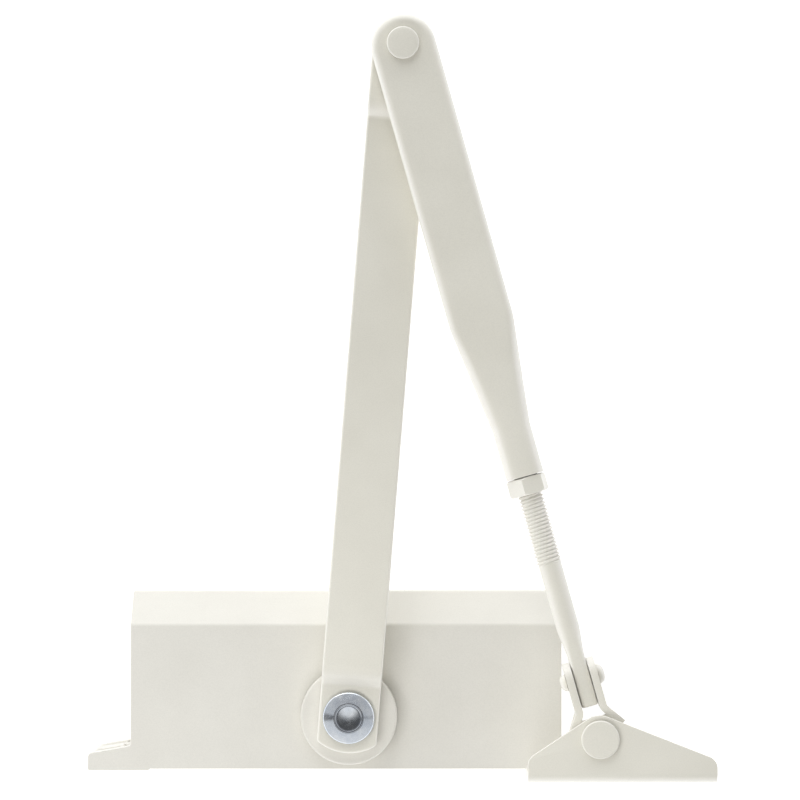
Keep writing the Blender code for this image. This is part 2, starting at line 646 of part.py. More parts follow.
def make_forearm():
    """A pressed steel channel with a closed round end, rolled into a tube where the rod screws in."""
    bm = bmesh.new()
    taper_steps = 9
    distances = [TUBE_END, TUBE_START]
    step = (TAPER_START - TUBE_START) / taper_steps
    distances += [TUBE_START + step * i for i in range(1, taper_steps + 1)]
    distances += [TAPER_START / 2, FOREARM_END_SETBACK]
    rows = [[bm.verts.new((across, distance, height)) for across, height in forearm_section(distance)]
            for distance in distances]
    round_steps = 10
    for i in range(1, round_steps + 1):
        angle = math.pi / 2 * i / round_steps
        along = math.cos(angle)
        back = math.sin(angle)
        row = [bm.verts.new((across * along, FOREARM_END_SETBACK - across * back, height))
               for across, height in forearm_section(0)]
        rows.append(row)
    for first, second in zip(rows, rows[1:]):
        for i in range(len(first) - 1):
            bm.faces.new((first[i], first[i + 1], second[i + 1], second[i]))
    bmesh.ops.remove_doubles(bm, verts=bm.verts[:], dist=0.00002)
    half = bm.verts[:] + bm.edges[:] + bm.faces[:]
    copy = bmesh.ops.duplicate(bm, geom=half)["geom"]
    mirrored = [item for item in copy if isinstance(item, bmesh.types.BMVert)]
    bmesh.ops.scale(bm, vec=(-1, 1, 1), verts=mirrored)
    bmesh.ops.reverse_faces(bm, faces=[item for item in copy if isinstance(item, bmesh.types.BMFace)])
    joined = [vert for vert in bm.verts if abs(vert.co.x) < 0.00001]
    bmesh.ops.remove_doubles(bm, verts=joined, dist=0.00002)
    mesh = bmesh_to_mesh(bm, "forearm")
    up = sum((polygon.normal.z * polygon.area for polygon in mesh.polygons))
    if up < 0:
        mesh.flip_normals()
    forearm = add_object("forearm", mesh, PAINT, place=ELBOW_PLACE)
    shell = forearm.modifiers.new("wall", "SOLIDIFY")
    shell.thickness = FOREARM_WALL
    shell.offset = -1
    shell.use_even_offset = True
    hole = rod("rivet_hole", ELBOW_PIN_RADIUS + GAP, 0, BODY_PROJECTION, COARSE)
    boolean(forearm, hole)


def make_elbow():
    top = FOREARM_TOP + GAP
    underside = ARM_HIGH - GAP
    head = 2.6 * MM
    rim = ELBOW_HEAD_RADIUS
    dome = [(0, top + head), (rim * 0.55, top + head * 0.96), (rim * 0.85, top + head * 0.75),
            (rim, top + head * 0.3), (rim, top), (ELBOW_PIN_RADIUS, top)]
    tail = [(ELBOW_PIN_RADIUS, underside), (5.4 * MM, underside), (5 * MM, underside - 1.4 * MM),
            (3.4 * MM, underside - 2 * MM), (0, underside - 2 * MM)]
    add_object("elbow_rivet", turned("elbow_rivet", dome + tail, MEDIUM), PAINT, place=ELBOW_PLACE)
    low = ARM_HIGH + ARM_THICKNESS + GAP
    high = FOREARM_TOP - FOREARM_WALL - GAP
    spacer = ring("elbow_spacer", ELBOW_PIN_RADIUS + 0.1 * MM, 7.4 * MM, low, high, MEDIUM)
    add_object("elbow_spacer", spacer, BRONZE, place=ELBOW_PLACE)


def along_rod(distance):
    """Turn a Z-axis shape to lie along the rod, its top away from the elbow."""
    return ELBOW_PLACE @ Matrix.Translation((0, distance, ROD_Z)) @ Matrix.Rotation(-math.pi / 2, 4, "X")


def make_rod():
    place = along_rod(0)
    profile = [(0, SLAB_START + 3 * MM), (ROD_RADIUS, SLAB_START + 3 * MM), (ROD_RADIUS, ROD_START + MM),
               (ROD_RADIUS - MM, ROD_START), (0, ROD_START)]
    shaft = add_object("adjusting_rod", turned("adjusting_rod", profile, MEDIUM), PAINT, place=place)
    half_thick = SLAB_THICKNESS / 2
    half_wide = SLAB_WIDTH / 2
    slab = box("slab", (-half_thick, -half_wide, SLAB_START), (half_thick, half_wide, SLAB_END))
    boolean(shaft, slab, "UNION")
    pin = rod("pin_hole", CROSS_RIVET_RADIUS + GAP, -2 * ROD_RADIUS, 2 * ROD_RADIUS, COARSE)
    boolean(shaft, moved(pin, along_x(0, 0, CLEVIS_DISTANCE)))


def make_nut():
    place = along_rod(NUT_START) @ Matrix.Rotation(NUT_TURN, 4, "Z")
    corner = NUT_FLATS / 2 / math.cos(math.radians(30))
    nut = add_object("lock_nut", plate("lock_nut", arc((0, 0), corner, 0, 300, 5), 0, NUT_THICKNESS), PAINT,
                     place=place)
    chamfer = [(0, NUT_THICKNESS), (corner - 1.1 * MM, NUT_THICKNESS),
               (corner + 0.2 * MM, NUT_THICKNESS - 0.9 * MM), (corner + 0.2 * MM, 0.9 * MM),
               (corner - 1.1 * MM, 0), (0, 0)]
    boolean(nut, turned("chamfer", chamfer, MEDIUM), "INTERSECT")
    boolean(nut, rod("thread_hole", ROD_RADIUS + 0.25 * MM, -MM, NUT_THICKNESS + MM, MEDIUM))


CLEVIS_PLACE = ELBOW_PLACE @ Matrix.Translation((0, SHOE_DISTANCE, 0))
CROSS_OFFSET = SHOE_DISTANCE - CLEVIS_DISTANCE


def ear_outline(side):
    """Seen down the spindle: a straight leg beside the rod that spreads outwards near the shoe's pivot."""
    inner = EAR_GAP / 2
    tip = CROSS_OFFSET + EAR_TIP_RADIUS
    spread = math.atan2(EAR_SPREAD - inner, EAR_BEND - EAR_ROOT)
    thick = EAR_THICKNESS
    miter = thick * math.tan(spread / 2)
    root = (EAR_SPREAD, -EAR_ROOT)
    outward = (thick * math.cos(spread), -thick * math.sin(spread))
    points = [(inner, -tip), (inner, -EAR_BEND), root, (root[0] + outward[0], root[1] + outward[1]),
              (inner + thick, -EAR_BEND - miter), (inner + thick, -tip)]
    return [(side * x, y) for x, y in points]


def make_clevis():
    low = CLEVIS_TOP - CLEVIS_DISC_THICKNESS
    disc = rod("clevis", CLEVIS_DISC_RADIUS, low, CLEVIS_TOP + 2 * MM, MEDIUM)
    clevis = add_object("clevis", disc, PAINT, place=CLEVIS_PLACE)
    for side in (-1, 1):
        leg = plate("ear", ear_outline(side), ROD_Z - EAR_WIDTH, CLEVIS_TOP + MM)
        boolean(clevis, leg, "UNION")
    tip = arc((-CROSS_OFFSET, ROD_Z), EAR_TIP_RADIUS, 90, 270, 14)
    behind = CLEVIS_DISC_RADIUS + MM
    side_view = tip + [(-EAR_BEND, ROD_Z - EAR_TIP_RADIUS), (-EAR_ROOT + MM, low - 2 * MM),
                       (behind, low - 2 * MM), (behind, CLEVIS_TOP)]
    envelope = plate("side_view", side_view, -2 * EAR_WIDTH, 2 * EAR_WIDTH)
    boolean(clevis, moved(envelope, UPRIGHT), "INTERSECT")
    pin = rod("pin_hole", CROSS_RIVET_RADIUS + GAP, -2 * EAR_WIDTH, 2 * EAR_WIDTH, COARSE)
    boolean(clevis, moved(pin, along_x(0, -CROSS_OFFSET, ROD_Z)))
    boolean(clevis, rod("shoe_pin_hole", SHOE_PIN_RADIUS + GAP, 0, 2 * BODY_PROJECTION, COARSE))


def make_clevis_rivet():
    reach = EAR_GAP / 2 + EAR_THICKNESS + GAP
    dome = [(0, reach + 2.2 * MM), (1.7 * MM, reach + 2.0 * MM), (2.8 * MM, reach + 1.4 * MM),
            (3.3 * MM, reach + 0.4 * MM), (3.3 * MM, reach), (CROSS_RIVET_RADIUS, reach)]
    tail = [(CROSS_RIVET_RADIUS, -reach), (3.1 * MM, -reach), (2.9 * MM, -reach - 0.8 * MM),
            (1.6 * MM, -reach - 1.9 * MM), (0, -reach - 2.1 * MM)]
    place = CLEVIS_PLACE @ along_x(0, -CROSS_OFFSET, ROD_Z, -1)
    add_object("clevis_rivet", turned("clevis_rivet", dome + tail, COARSE), PAINT, place=place)


SHOE_PLACE = Matrix.Translation(CLEVIS_PLACE.translation)


def shoe_outline():
    """The triangular flange, pivot at the origin, base towards +Y, long side towards -X."""
    base = SHOE_BASE_DROP
    right = arc((-SHOE_RIGHT + 4 * MM, 9.5 * MM), 4 * MM, 180, 250, 4)
    left = arc((SHOE_LEFT - 4 * MM, 8.6 * MM), 4 * MM, -58, 0, 4)
    dome = arc((0, 0), SHOE_DOME_RADIUS, 253, 303, 6)
    return [(-SHOE_RIGHT, base)] + right + dome + left + [(SHOE_LEFT, base)]


def make_shoe():
    flange = plate("shoe_bracket", shoe_outline(), SHOE_FLANGE_BOTTOM, SHOE_FLANGE_TOP)
    shoe = add_object("shoe_bracket", flange, PAINT, place=SHOE_PLACE)
    round_corner = 4 * MM
    width = (-SHOE_RIGHT, SHOE_LEFT)
    low = arc((width[0] + round_corner, SHOE_BOTTOM + round_corner), round_corner, 180, 270, 4)
    low += arc((width[1] - round_corner, SHOE_BOTTOM + round_corner), round_corner, 270, 360, 4)
    face = low + [(width[1], SHOE_FLANGE_TOP), (width[0], SHOE_FLANGE_TOP)]
    base = plate("base", face, -SHOE_BASE_DROP, -SHOE_BASE_DROP + SHOE_PLATE)
    stand = Matrix.Rotation(math.pi / 2, 4, "X")
    boolean(shoe, moved(base, stand), "UNION")
    bevel(shoe, 0.6 * MM, 2, 50)
    wide = SHOE_COUNTERSINK_RADIUS
    narrow = SHOE_SCREW_RADIUS
    level = (SHOE_BOTTOM + SHOE_FLANGE_BOTTOM) / 2 - 2 * MM
    for x in SHOE_SCREW_POSITIONS:
        countersink = [(0, MM), (wide, MM), (wide, 0), (narrow, narrow - wide),
                       (narrow, -SHOE_PLATE - MM), (0, -SHOE_PLATE - MM)]
        screw_hole = turned("screw_hole", countersink, COARSE)
        into = Matrix.Rotation(math.pi / 2, 4, "X")
        at = Matrix.Translation((x, SHOE_BASE_DROP - SHOE_PLATE, level))
        boolean(shoe, moved(moved(screw_hole, into), at))
    boolean(shoe, rod("pivot_hole", SHOE_PIN_RADIUS + GAP, 0, 2 * BODY_PROJECTION, COARSE))


def make_shoe_rivet():
    top = SHOE_FLANGE_TOP + GAP
    under = CLEVIS_TOP - CLEVIS_DISC_THICKNESS - GAP
    rim = SHOE_HEAD_RADIUS
    high = top + SHOE_HEAD_HEIGHT
    head = [(0, high), (rim - 0.7 * MM, high), (rim, high - 0.7 * MM), (rim, top), (SHOE_PIN_RADIUS, top)]
    tail = [(SHOE_PIN_RADIUS, under), (4.8 * MM, under), (4.4 * MM, under - 1.3 * MM),
            (0, under - 1.8 * MM)]
    add_object("shoe_rivet", turned("shoe_rivet", head + tail, MEDIUM), PAINT, place=SHOE_PLACE)


make_housing()
make_end_plug("valve_end_plug", 1)
make_end_plug("spring_end_plug", -1)
make_plug_seal("valve_plug_seal", 1)
make_plug_seal("spring_plug_seal", -1)
make_collar("upper_collar", UPPER_COLLAR_TOP, PAINT)
make_collar("lower_collar", -LOWER_COLLAR_BOTTOM, PAINT)
make_bearings_and_seals()
make_spindle_end_cap()
make_valve("closing_valve", 1)
make_valve("latching_valve", -1)
make_piston()
make_spring()
make_pinion()
make_main_arm()
make_arm_screw()
make_forearm()
make_elbow()
make_rod()
make_nut()
make_clevis()
make_clevis_rivet()
make_shoe()
make_shoe_rivet()
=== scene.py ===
import math

import bmesh
import bpy
from mathutils import Matrix, Vector


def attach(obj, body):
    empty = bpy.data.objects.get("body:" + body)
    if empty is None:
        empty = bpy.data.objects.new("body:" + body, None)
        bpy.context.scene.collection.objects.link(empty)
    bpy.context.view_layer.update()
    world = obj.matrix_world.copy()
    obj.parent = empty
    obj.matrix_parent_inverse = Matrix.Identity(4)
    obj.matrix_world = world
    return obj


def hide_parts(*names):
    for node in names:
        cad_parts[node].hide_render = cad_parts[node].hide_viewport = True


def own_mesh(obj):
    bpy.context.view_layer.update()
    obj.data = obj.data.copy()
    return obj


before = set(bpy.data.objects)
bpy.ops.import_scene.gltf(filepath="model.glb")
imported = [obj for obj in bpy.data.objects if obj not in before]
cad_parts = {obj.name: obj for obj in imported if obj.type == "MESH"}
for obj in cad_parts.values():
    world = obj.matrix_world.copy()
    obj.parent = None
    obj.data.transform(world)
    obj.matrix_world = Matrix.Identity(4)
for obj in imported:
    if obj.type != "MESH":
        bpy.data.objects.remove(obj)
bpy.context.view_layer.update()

MM = 0.001
GAP = 0.3 * MM

# Sizes that the pieces share with the frame
BODY_LENGTH = 145.4 * MM
BODY_HEIGHT = 42 * MM
BODY_PROJECTION = 60 * MM
FACET_START = 49.3 * MM
FACET_DEPTH = 16 * MM
FOOT_LENGTH = 14.5 * MM
FOOT_TIP_THICKNESS = 5.6 * MM
FOOT_ROOT_THICKNESS = 8.1 * MM
PAD_REACH = 6 * MM
BASE_RELIEF = 0.5 * MM
CENTRE_LAND_LENGTH = 50 * MM
CENTRE_LAND_HEIGHT = 24 * MM
CENTRE_LAND_DEPTH = 5 * MM
CENTRE_LAND_CORNER = 3 * MM
SLOT_WIDTH = 5.5 * MM
SLOT_LENGTH = 9 * MM
SLOT_REACH = 7.5 * MM
SLOT_OFFSET_Z = 11 * MM

BORE_Y = -38 * MM
BORE_RADIUS = 15 * MM
PLUG_RADIUS = 16.5 * MM
PLUG_LENGTH = 16 * MM
PLUG_RECESS = 0.4 * MM
PLUG_INNER_END = BODY_LENGTH / 2 - PLUG_LENGTH + GAP
CHAMBER_RADIUS = 12 * MM
SPRING_RADIUS = 10.6 * MM
SPRING_WIRE_RADIUS = 1.7 * MM
SPRING_TURNS = 6
SPRING_END = -14 * MM

SPINDLE_X = -1 * MM
SPINDLE_Y = -18.6 * MM
COLLAR_RADIUS = 16.25 * MM
UPPER_COLLAR_TOP = 28.5 * MM
LOWER_COLLAR_BOTTOM = -24.5 * MM
COLLAR_PLUG_DEPTH = 4.7 * MM
JOURNAL_RADIUS = 7 * MM
SEAL_CHAMBER_RADIUS = 9.2 * MM
VALVE_OFFSET_Z = 9 * MM
VALVE_Y = -11.5 * MM
VALVE_RADIUS = 3 * MM

ARM_TILT = math.radians(4.63)
ARM_CENTRES = 224.8 * MM
ARM_WIDTH = 20.1 * MM
ARM_THICKNESS = 5 * MM
ARM_END_REACH = 11.9 * MM
ARM_END_RADIUS = 16.7 * MM
ARM_LOW = 29 * MM
ARM_MIDDLE = 33 * MM
ARM_HIGH = 37.9 * MM
SQUARE_SIZE = 9.8 * MM
ARM_SCREW_RADIUS = 3 * MM
ARM_SCREW_LENGTH = 14 * MM
ARM_SCREW_HEAD_RADIUS = 8.7 * MM
ARM_SCREW_HEAD_HEIGHT = 3.4 * MM

FOREARM_TILT = math.radians(15.80)
FOREARM_TOP = 51 * MM
FOREARM_HALF_WIDTH = 10.75 * MM
FOREARM_DEPTH = 7.4 * MM
FOREARM_WALL = 2 * MM
FOREARM_CORNER = 2.8 * MM
FOREARM_END_SETBACK = 0.9 * MM
TAPER_START = 96 * MM
TUBE_START = 132 * MM
TUBE_END = 148.8 * MM
TUBE_RADIUS = 6.4 * MM
ROD_Z = FOREARM_TOP - TUBE_RADIUS
ELBOW_PIN_RADIUS = 4 * MM
ELBOW_HEAD_RADIUS = 5.35 * MM

CLEVIS_DISTANCE = 218.5 * MM
SHOE_DISTANCE = 238.9 * MM
CROSS_OFFSET = SHOE_DISTANCE - CLEVIS_DISTANCE
ROD_RADIUS = 3.8 * MM
ROD_START = 112 * MM
SLAB_THICKNESS = 5.5 * MM
SLAB_WIDTH = 9.6 * MM
SLAB_START = SHOE_DISTANCE - 33 * MM
SLAB_END = SHOE_DISTANCE - 11 * MM
THREAD_START = 128 * MM
THREAD_END = 179.3 * MM
THREAD_PITCH = 1.25 * MM
THREAD_MAJOR = 4.25 * MM
THREAD_MINOR = 3.45 * MM
NUT_START = TUBE_END + GAP
NUT_THICKNESS = 5.9 * MM
NUT_FLATS = 12 * MM
NUT_TURN = math.radians(-16)

EAR_THICKNESS = 2.4 * MM
EAR_GAP = 5.8 * MM
EAR_TIP_RADIUS = 6.3 * MM
EAR_BEND = 8.8 * MM
EAR_ROOT = 3.5 * MM
EAR_SPREAD = 6.7 * MM
CLEVIS_TOP = ROD_Z + 6.3 * MM
CLEVIS_DISC_RADIUS = 8.6 * MM
CLEVIS_DISC_THICKNESS = 2.5 * MM
CROSS_RIVET_RADIUS = 2.5 * MM

SHOE_LEFT = 23.8 * MM
SHOE_RIGHT = 38.7 * MM
SHOE_BASE_DROP = 14.3 * MM
SHOE_DOME_RADIUS = 7.8 * MM
SHOE_PLATE = 3 * MM
SHOE_BOTTOM = 23.5 * MM
SHOE_FLANGE_BOTTOM = CLEVIS_TOP + GAP
SHOE_FLANGE_TOP = SHOE_FLANGE_BOTTOM + SHOE_PLATE
SHOE_HEAD_RADIUS = 6.3 * MM
SHOE_PIN_RADIUS = 3.2 * MM
SHOE_CORNER = 4 * MM
SHOE_SCREW_POSITIONS = (-27 * MM, 13 * MM)
SHOE_SCREW_RADIUS = 2.8 * MM

ROUND = 96
SMALL_ROUND = 64

SPINDLE = Matrix.Translation((SPINDLE_X, SPINDLE_Y, 0))
UPRIGHT = Matrix(((0, 0, 1, 0), (1, 0, 0, 0), (0, 1, 0, 0), (0, 0, 0, 1)))
ARM_PLACE = SPINDLE @ Matrix.Rotation(-ARM_TILT, 4, "Z")
ELBOW = ARM_PLACE @ Matrix.Translation((0, -ARM_CENTRES, 0))
ELBOW_PLACE = Matrix.Translation(ELBOW.translation) @ Matrix.Rotation(FOREARM_TILT, 4, "Z")
CLEVIS_PLACE = ELBOW_PLACE @ Matrix.Translation((0, SHOE_DISTANCE, 0))
SHOE_PLACE = Matrix.Translation(CLEVIS_PLACE.translation)


# ---------------------------------------------------------------- materials

def link(tree, source, target):
    tree.links.new(source, target)


def noise(tree, scale, detail):
    """Noise over the object's own coordinates, which are metres."""
    coordinates = tree.nodes.new("ShaderNodeTexCoord")
    texture = tree.nodes.new("ShaderNodeTexNoise")
    texture.inputs["Scale"].default_value = scale
    texture.inputs["Detail"].default_value = detail
    link(tree, coordinates.outputs["Object"], texture.inputs["Vector"])
    return texture.outputs["Fac"]


def rings(tree, pitch, distortion):
    """Tool marks: rings round the object's Z axis."""
    coordinates = tree.nodes.new("ShaderNodeTexCoord")
    wave = tree.nodes.new("ShaderNodeTexWave")
    wave.wave_type = "RINGS"
    wave.rings_direction = "Z"
    wave.inputs["Scale"].default_value = math.tau / (20 * pitch)
    wave.inputs["Distortion"].default_value = distortion
    wave.inputs["Detail"].default_value = 2
    wave.inputs["Detail Scale"].default_value = 1.5
    link(tree, coordinates.outputs["Object"], wave.inputs["Vector"])
    return wave.outputs["Fac"]


def ramp(tree, value, stops):
    made = tree.nodes.new("ShaderNodeValToRGB")
    made.color_ramp.elements[0].position = stops[0][0]
    made.color_ramp.elements[0].color = (*stops[0][1], 1)
    made.color_ramp.elements[1].position = stops[-1][0]
    made.color_ramp.elements[1].color = (*stops[-1][1], 1)
    for position, colour in stops[1:-1]:
        element = made.color_ramp.elements.new(position)
        element.color = (*colour, 1)
    link(tree, value, made.inputs["Fac"])
    return made.outputs["Color"]


def spread(tree, value, low, high, start=0.3, end=0.7):
    made = tree.nodes.new("ShaderNodeMapRange")
    made.inputs["From Min"].default_value = start
    made.inputs["From Max"].default_value = end
    made.inputs["To Min"].default_value = low
    made.inputs["To Max"].default_value = high
    link(tree, value, made.inputs["Value"])
    return made.outputs["Result"]


def bump(tree, height, distance, strength=1.0, under=None):
    made = tree.nodes.new("ShaderNodeBump")
    made.inputs["Distance"].default_value = distance
    made.inputs["Strength"].default_value = strength
    link(tree, height, made.inputs["Height"])
    if under is not None:
        link(tree, under, made.inputs["Normal"])
    return made.outputs["Normal"]


def slope_highlight(tree, colour, rim):
    """Painted highlight: blend towards the rim colour where the surface slopes away from level, so the edges
    and bends of the paint look lit.
    """
    coordinates = tree.nodes.new("ShaderNodeTexCoord")
    split = tree.nodes.new("ShaderNodeSeparateXYZ")
    steepness = tree.nodes.new("ShaderNodeMath")
    steepness.operation = "ABSOLUTE"
    mix = tree.nodes.new("ShaderNodeMix")
    mix.data_type = "RGBA"
    mix.inputs["B"].default_value = (*rim, 1)
    link(tree, coordinates.outputs["Normal"], split.inputs["Vector"])
    link(tree, split.outputs["Z"], steepness.inputs[0])
    link(tree, spread(tree, steepness.outputs["Value"], 1, 0, 0.60, 0.985), mix.inputs["Factor"])
    link(tree, colour, mix.inputs["A"])
    return mix.outputs["Result"]


def surface(name, colour, roughness, normal, metallic=0.0, coat=0.0):
    """A Principled material. Colour, roughness and normal are functions that add nodes to its tree."""
    made = bpy.data.materials.new(name)
    made.use_nodes = True
    tree = made.node_tree
    shader = tree.nodes["Principled BSDF"]
    shader.inputs["Metallic"].default_value = metallic
    shader.inputs["Coat Weight"].default_value = coat
    shader.inputs["Coat Roughness"].default_value = 0.12
    link(tree, colour(tree), shader.inputs["Base Color"])
    link(tree, roughness(tree), shader.inputs["Roughness"])
    link(tree, normal(tree), shader.inputs["Normal"])
    return made


def powder_coat(name, deep, pale, grain, peel, rim=None):
    """Ivory powder coat: clouds of slightly different shade, fine grain and orange peel; given a rim colour,
    it also paints a highlight on sloping edges.
    """
    def colour(tree):
        tone_and_slope_highlight = ramp(tree, noise(tree, 38, 5), [(0.32, deep), (0.68, pale)])
        # The rim colour is a painted highlight laid on sloping edges and bends.
        if rim:
            tone_and_slope_highlight = slope_highlight(tree, tone_and_slope_highlight, rim)
        specks = ramp(tree, noise(tree, 2600, 2), [(0.30, (0.955, 0.955, 0.955)), (0.62, (1, 1, 1))])
        mix = tree.nodes.new("ShaderNodeMix")
        mix.data_type = "RGBA"
        mix.blend_type = "MULTIPLY"
        mix.inputs["Factor"].default_value = 1
        link(tree, tone_and_slope_highlight, mix.inputs["A"])
        link(tree, specks, mix.inputs["B"])
        return mix.outputs["Result"]

    def roughness(tree):
        return spread(tree, noise(tree, 420, 4), 0.30, 0.43)

    def normal(tree):
        fine = bump(tree, noise(tree, 3400, 2), 0.006 * MM, grain)
        return bump(tree, noise(tree, 720, 2), 0.05 * MM, peel, fine)

    return surface(name, colour, roughness, normal, coat=0.12)


def turned_metal(name, deep, pale, rough_low, rough_high, pitch, depth):
    """Metal with ring-shaped tool marks and a slight cloud in its colour."""
    def colour(tree):
        return ramp(tree, noise(tree, 220, 5), [(0.3, deep), (0.7, pale)])

    def roughness(tree):
        return spread(tree, noise(tree, 900, 4), rough_low, rough_high)

    def normal(tree):
        marks = bump(tree, rings(tree, pitch, 0.6), depth, 0.5)
        return bump(tree, noise(tree, 5200, 2), 0.004 * MM, 0.5, marks)

    return surface(name, colour, roughness, normal, metallic=1.0)


def moulded(name, deep, pale, rough_low, rough_high, grain_scale, depth):
    """Moulded plastic or rubber with an eroded-tool grain."""
    def colour(tree):
        return ramp(tree, noise(tree, 160, 6), [(0.3, deep), (0.7, pale)])

    def roughness(tree):
        return spread(tree, noise(tree, 800, 3), rough_low, rough_high)

    def normal(tree):
        return bump(tree, noise(tree, grain_scale, 3), depth, 0.6)

    return surface(name, colour, roughness, normal)


def sintered(name, deep, pale):
    """Oil-filled sintered bronze: pores between pressed grains."""
    def colour(tree):
        return ramp(tree, noise(tree, 1500, 4), [(0.35, deep), (0.6, pale)])

    def roughness(tree):
        return spread(tree, noise(tree, 1200, 3), 0.32, 0.55)

    def normal(tree):
        return bump(tree, noise(tree, 2400, 3), 0.03 * MM, 0.5)

    return surface(name, colour, roughness, normal, metallic=1.0)


CASTING_PAINT = powder_coat("ivory_casting", (0.740, 0.720, 0.655), (0.780, 0.760, 0.695), 0.6, 0.30)
# The third, paler colour is a painted highlight for the sloping edges and bends of the painted steel parts.
STEEL_PAINT = powder_coat("ivory_steel", (0.745, 0.722, 0.635), (0.785, 0.762, 0.675), 0.45, 0.22,
                          (0.865, 0.845, 0.785))
ZINC = turned_metal("zinc_plate", (0.66, 0.71, 0.78), (0.84, 0.87, 0.90), 0.10, 0.24, 0.16 * MM, 0.004 * MM)
STEEL = turned_metal("machined_steel", (0.42, 0.42, 0.43), (0.60, 0.60, 0.61), 0.22, 0.38,
                     0.35 * MM, 0.010 * MM)
SPRING_STEEL = turned_metal("spring_steel", (0.13, 0.13, 0.15), (0.24, 0.24, 0.27), 0.28, 0.45,
                            0.9 * MM, 0.004 * MM)
BRASS = turned_metal("valve_brass", (0.68, 0.50, 0.22), (0.82, 0.66, 0.34), 0.18, 0.32, 0.22 * MM, 0.006 * MM)
BRONZE = sintered("bearing_bronze", (0.36, 0.22, 0.11), (0.66, 0.44, 0.24))
RUBBER = moulded("seal_rubber", (0.020, 0.020, 0.021), (0.036, 0.036, 0.037), 0.5, 0.7, 2800, 0.02 * MM)
CAP_PLASTIC = moulded("cap_plastic", (0.73, 0.71, 0.65), (0.78, 0.765, 0.705), 0.42, 0.55, 2200, 0.03 * MM)


# ---------------------------------------------------------------- mesh helpers

def add_object(name, mesh):
    obj = bpy.data.objects.new(name, mesh)
    bpy.context.scene.collection.objects.link(obj)
    return obj


def bmesh_to_mesh(bm, name):
    bmesh.ops.recalc_face_normals(bm, faces=bm.faces)
    mesh = bpy.data.meshes.new(name)
    bm.to_mesh(mesh)
    bm.free()
    return mesh


def turned(name, profile, steps=ROUND):
    """A solid turned about Z from (radius, z) points, listed from the top down the outer side and back."""
    bm = bmesh.new()
    chain = [bm.verts.new((radius, 0, z)) for radius, z in profile]
    for first, second in zip(chain, chain[1:] + chain[:1]):
        if first.co.x > 0 or second.co.x > 0:
            bm.edges.new((first, second))
    bmesh.ops.spin(bm, geom=bm.verts[:] + bm.edges[:], cent=(0, 0, 0), axis=(0, 0, 1),
                   angle=math.tau, steps=steps, use_merge=True)
    bmesh.ops.remove_doubles(bm, verts=bm.verts[:], dist=0.00001)
    return bmesh_to_mesh(bm, name)


def pin_cutter(radius, reach):
    """A round cutter about Z that reaches the same way up and down."""
    return turned("pin_cutter", [(0, reach), (radius, reach), (radius, -reach), (0, -reach)], SMALL_ROUND)


def plate(name, outline, low, high):
    """A flat outline in XY with its thickness along Z."""
    bm = bmesh.new()
    face = bm.faces.new([bm.verts.new((x, y, low)) for x, y in outline])
    lifted = bmesh.ops.extrude_face_region(bm, geom=[face])["geom"]
    top = [item for item in lifted if isinstance(item, bmesh.types.BMVert)]
    bmesh.ops.translate(bm, vec=(0, 0, high - low), verts=top)
    return bmesh_to_mesh(bm, name)


def arc(centre, radius, start, end, steps):
    """Points on an arc, with the angles in degrees."""
    points = []
    for i in range(steps + 1):
        angle = math.radians(start + (end - start) * i / steps)
        points.append((centre[0] + radius * math.cos(angle), centre[1] + radius * math.sin(angle)))
    return points


def bent_strip(points, thickness, radius, steps=8):
    """The outline of a strip that follows a polyline, its corners bent to a radius."""
    points = [Vector(point) for point in points]
    stations = [(points[0], (points[1] - points[0]).normalized())]
    for before, corner, after in zip(points, points[1:], points[2:]):
        enter = (corner - before).normalized()
        leave = (after - corner).normalized()
        turn = enter.angle_signed(leave)
        reach = radius * math.tan(abs(turn) / 2)
        start = corner - enter * reach
        side = 1 if turn < 0 else -1
        centre = start + side * radius * Vector((-enter.y, enter.x))
        for i in range(steps + 1):
            angle = -turn * i / steps
            spin = Matrix.Rotation(angle, 2)
            stations.append((centre + spin @ (start - centre), spin @ enter))
    stations.append((points[-1], (points[-1] - points[-2]).normalized()))
    half = thickness / 2
    left = [point + half * Vector((-along.y, along.x)) for point, along in stations]
    right = [point - half * Vector((-along.y, along.x)) for point, along in stations]
    return [tuple(point) for point in left + right[::-1]]


def moved(mesh, matrix):
    mesh.transform(matrix)
    return mesh


def along_x(x=0, y=0, z=0, towards=1):
    return Matrix.Translation((x, y, z)) @ Matrix.Rotation(towards * math.pi / 2, 4, "Y")


def along_rod(distance):
    """Turn a Z-axis shape to lie along the rod, its top away from the elbow."""
    return ELBOW_PLACE @ Matrix.Translation((0, distance, ROD_Z)) @ Matrix.Rotation(-math.pi / 2, 4, "X")


def boolean(obj, mesh, operation="DIFFERENCE"):
    cutter = add_object("cutter", mesh)
    cutter.hide_render = True
    modifier = obj.modifiers.new("cut", "BOOLEAN")
    modifier.operation = operation
    modifier.solver = "EXACT"
    modifier.object = cutter


def bevel(obj, width, segments=3, angle=30):
    modifier = obj.modifiers.new("edges", "BEVEL")
    modifier.width = width
    modifier.segments = segments
    modifier.limit_method = "ANGLE"
    modifier.angle_limit = math.radians(angle)
    modifier.use_clamp_overlap = True


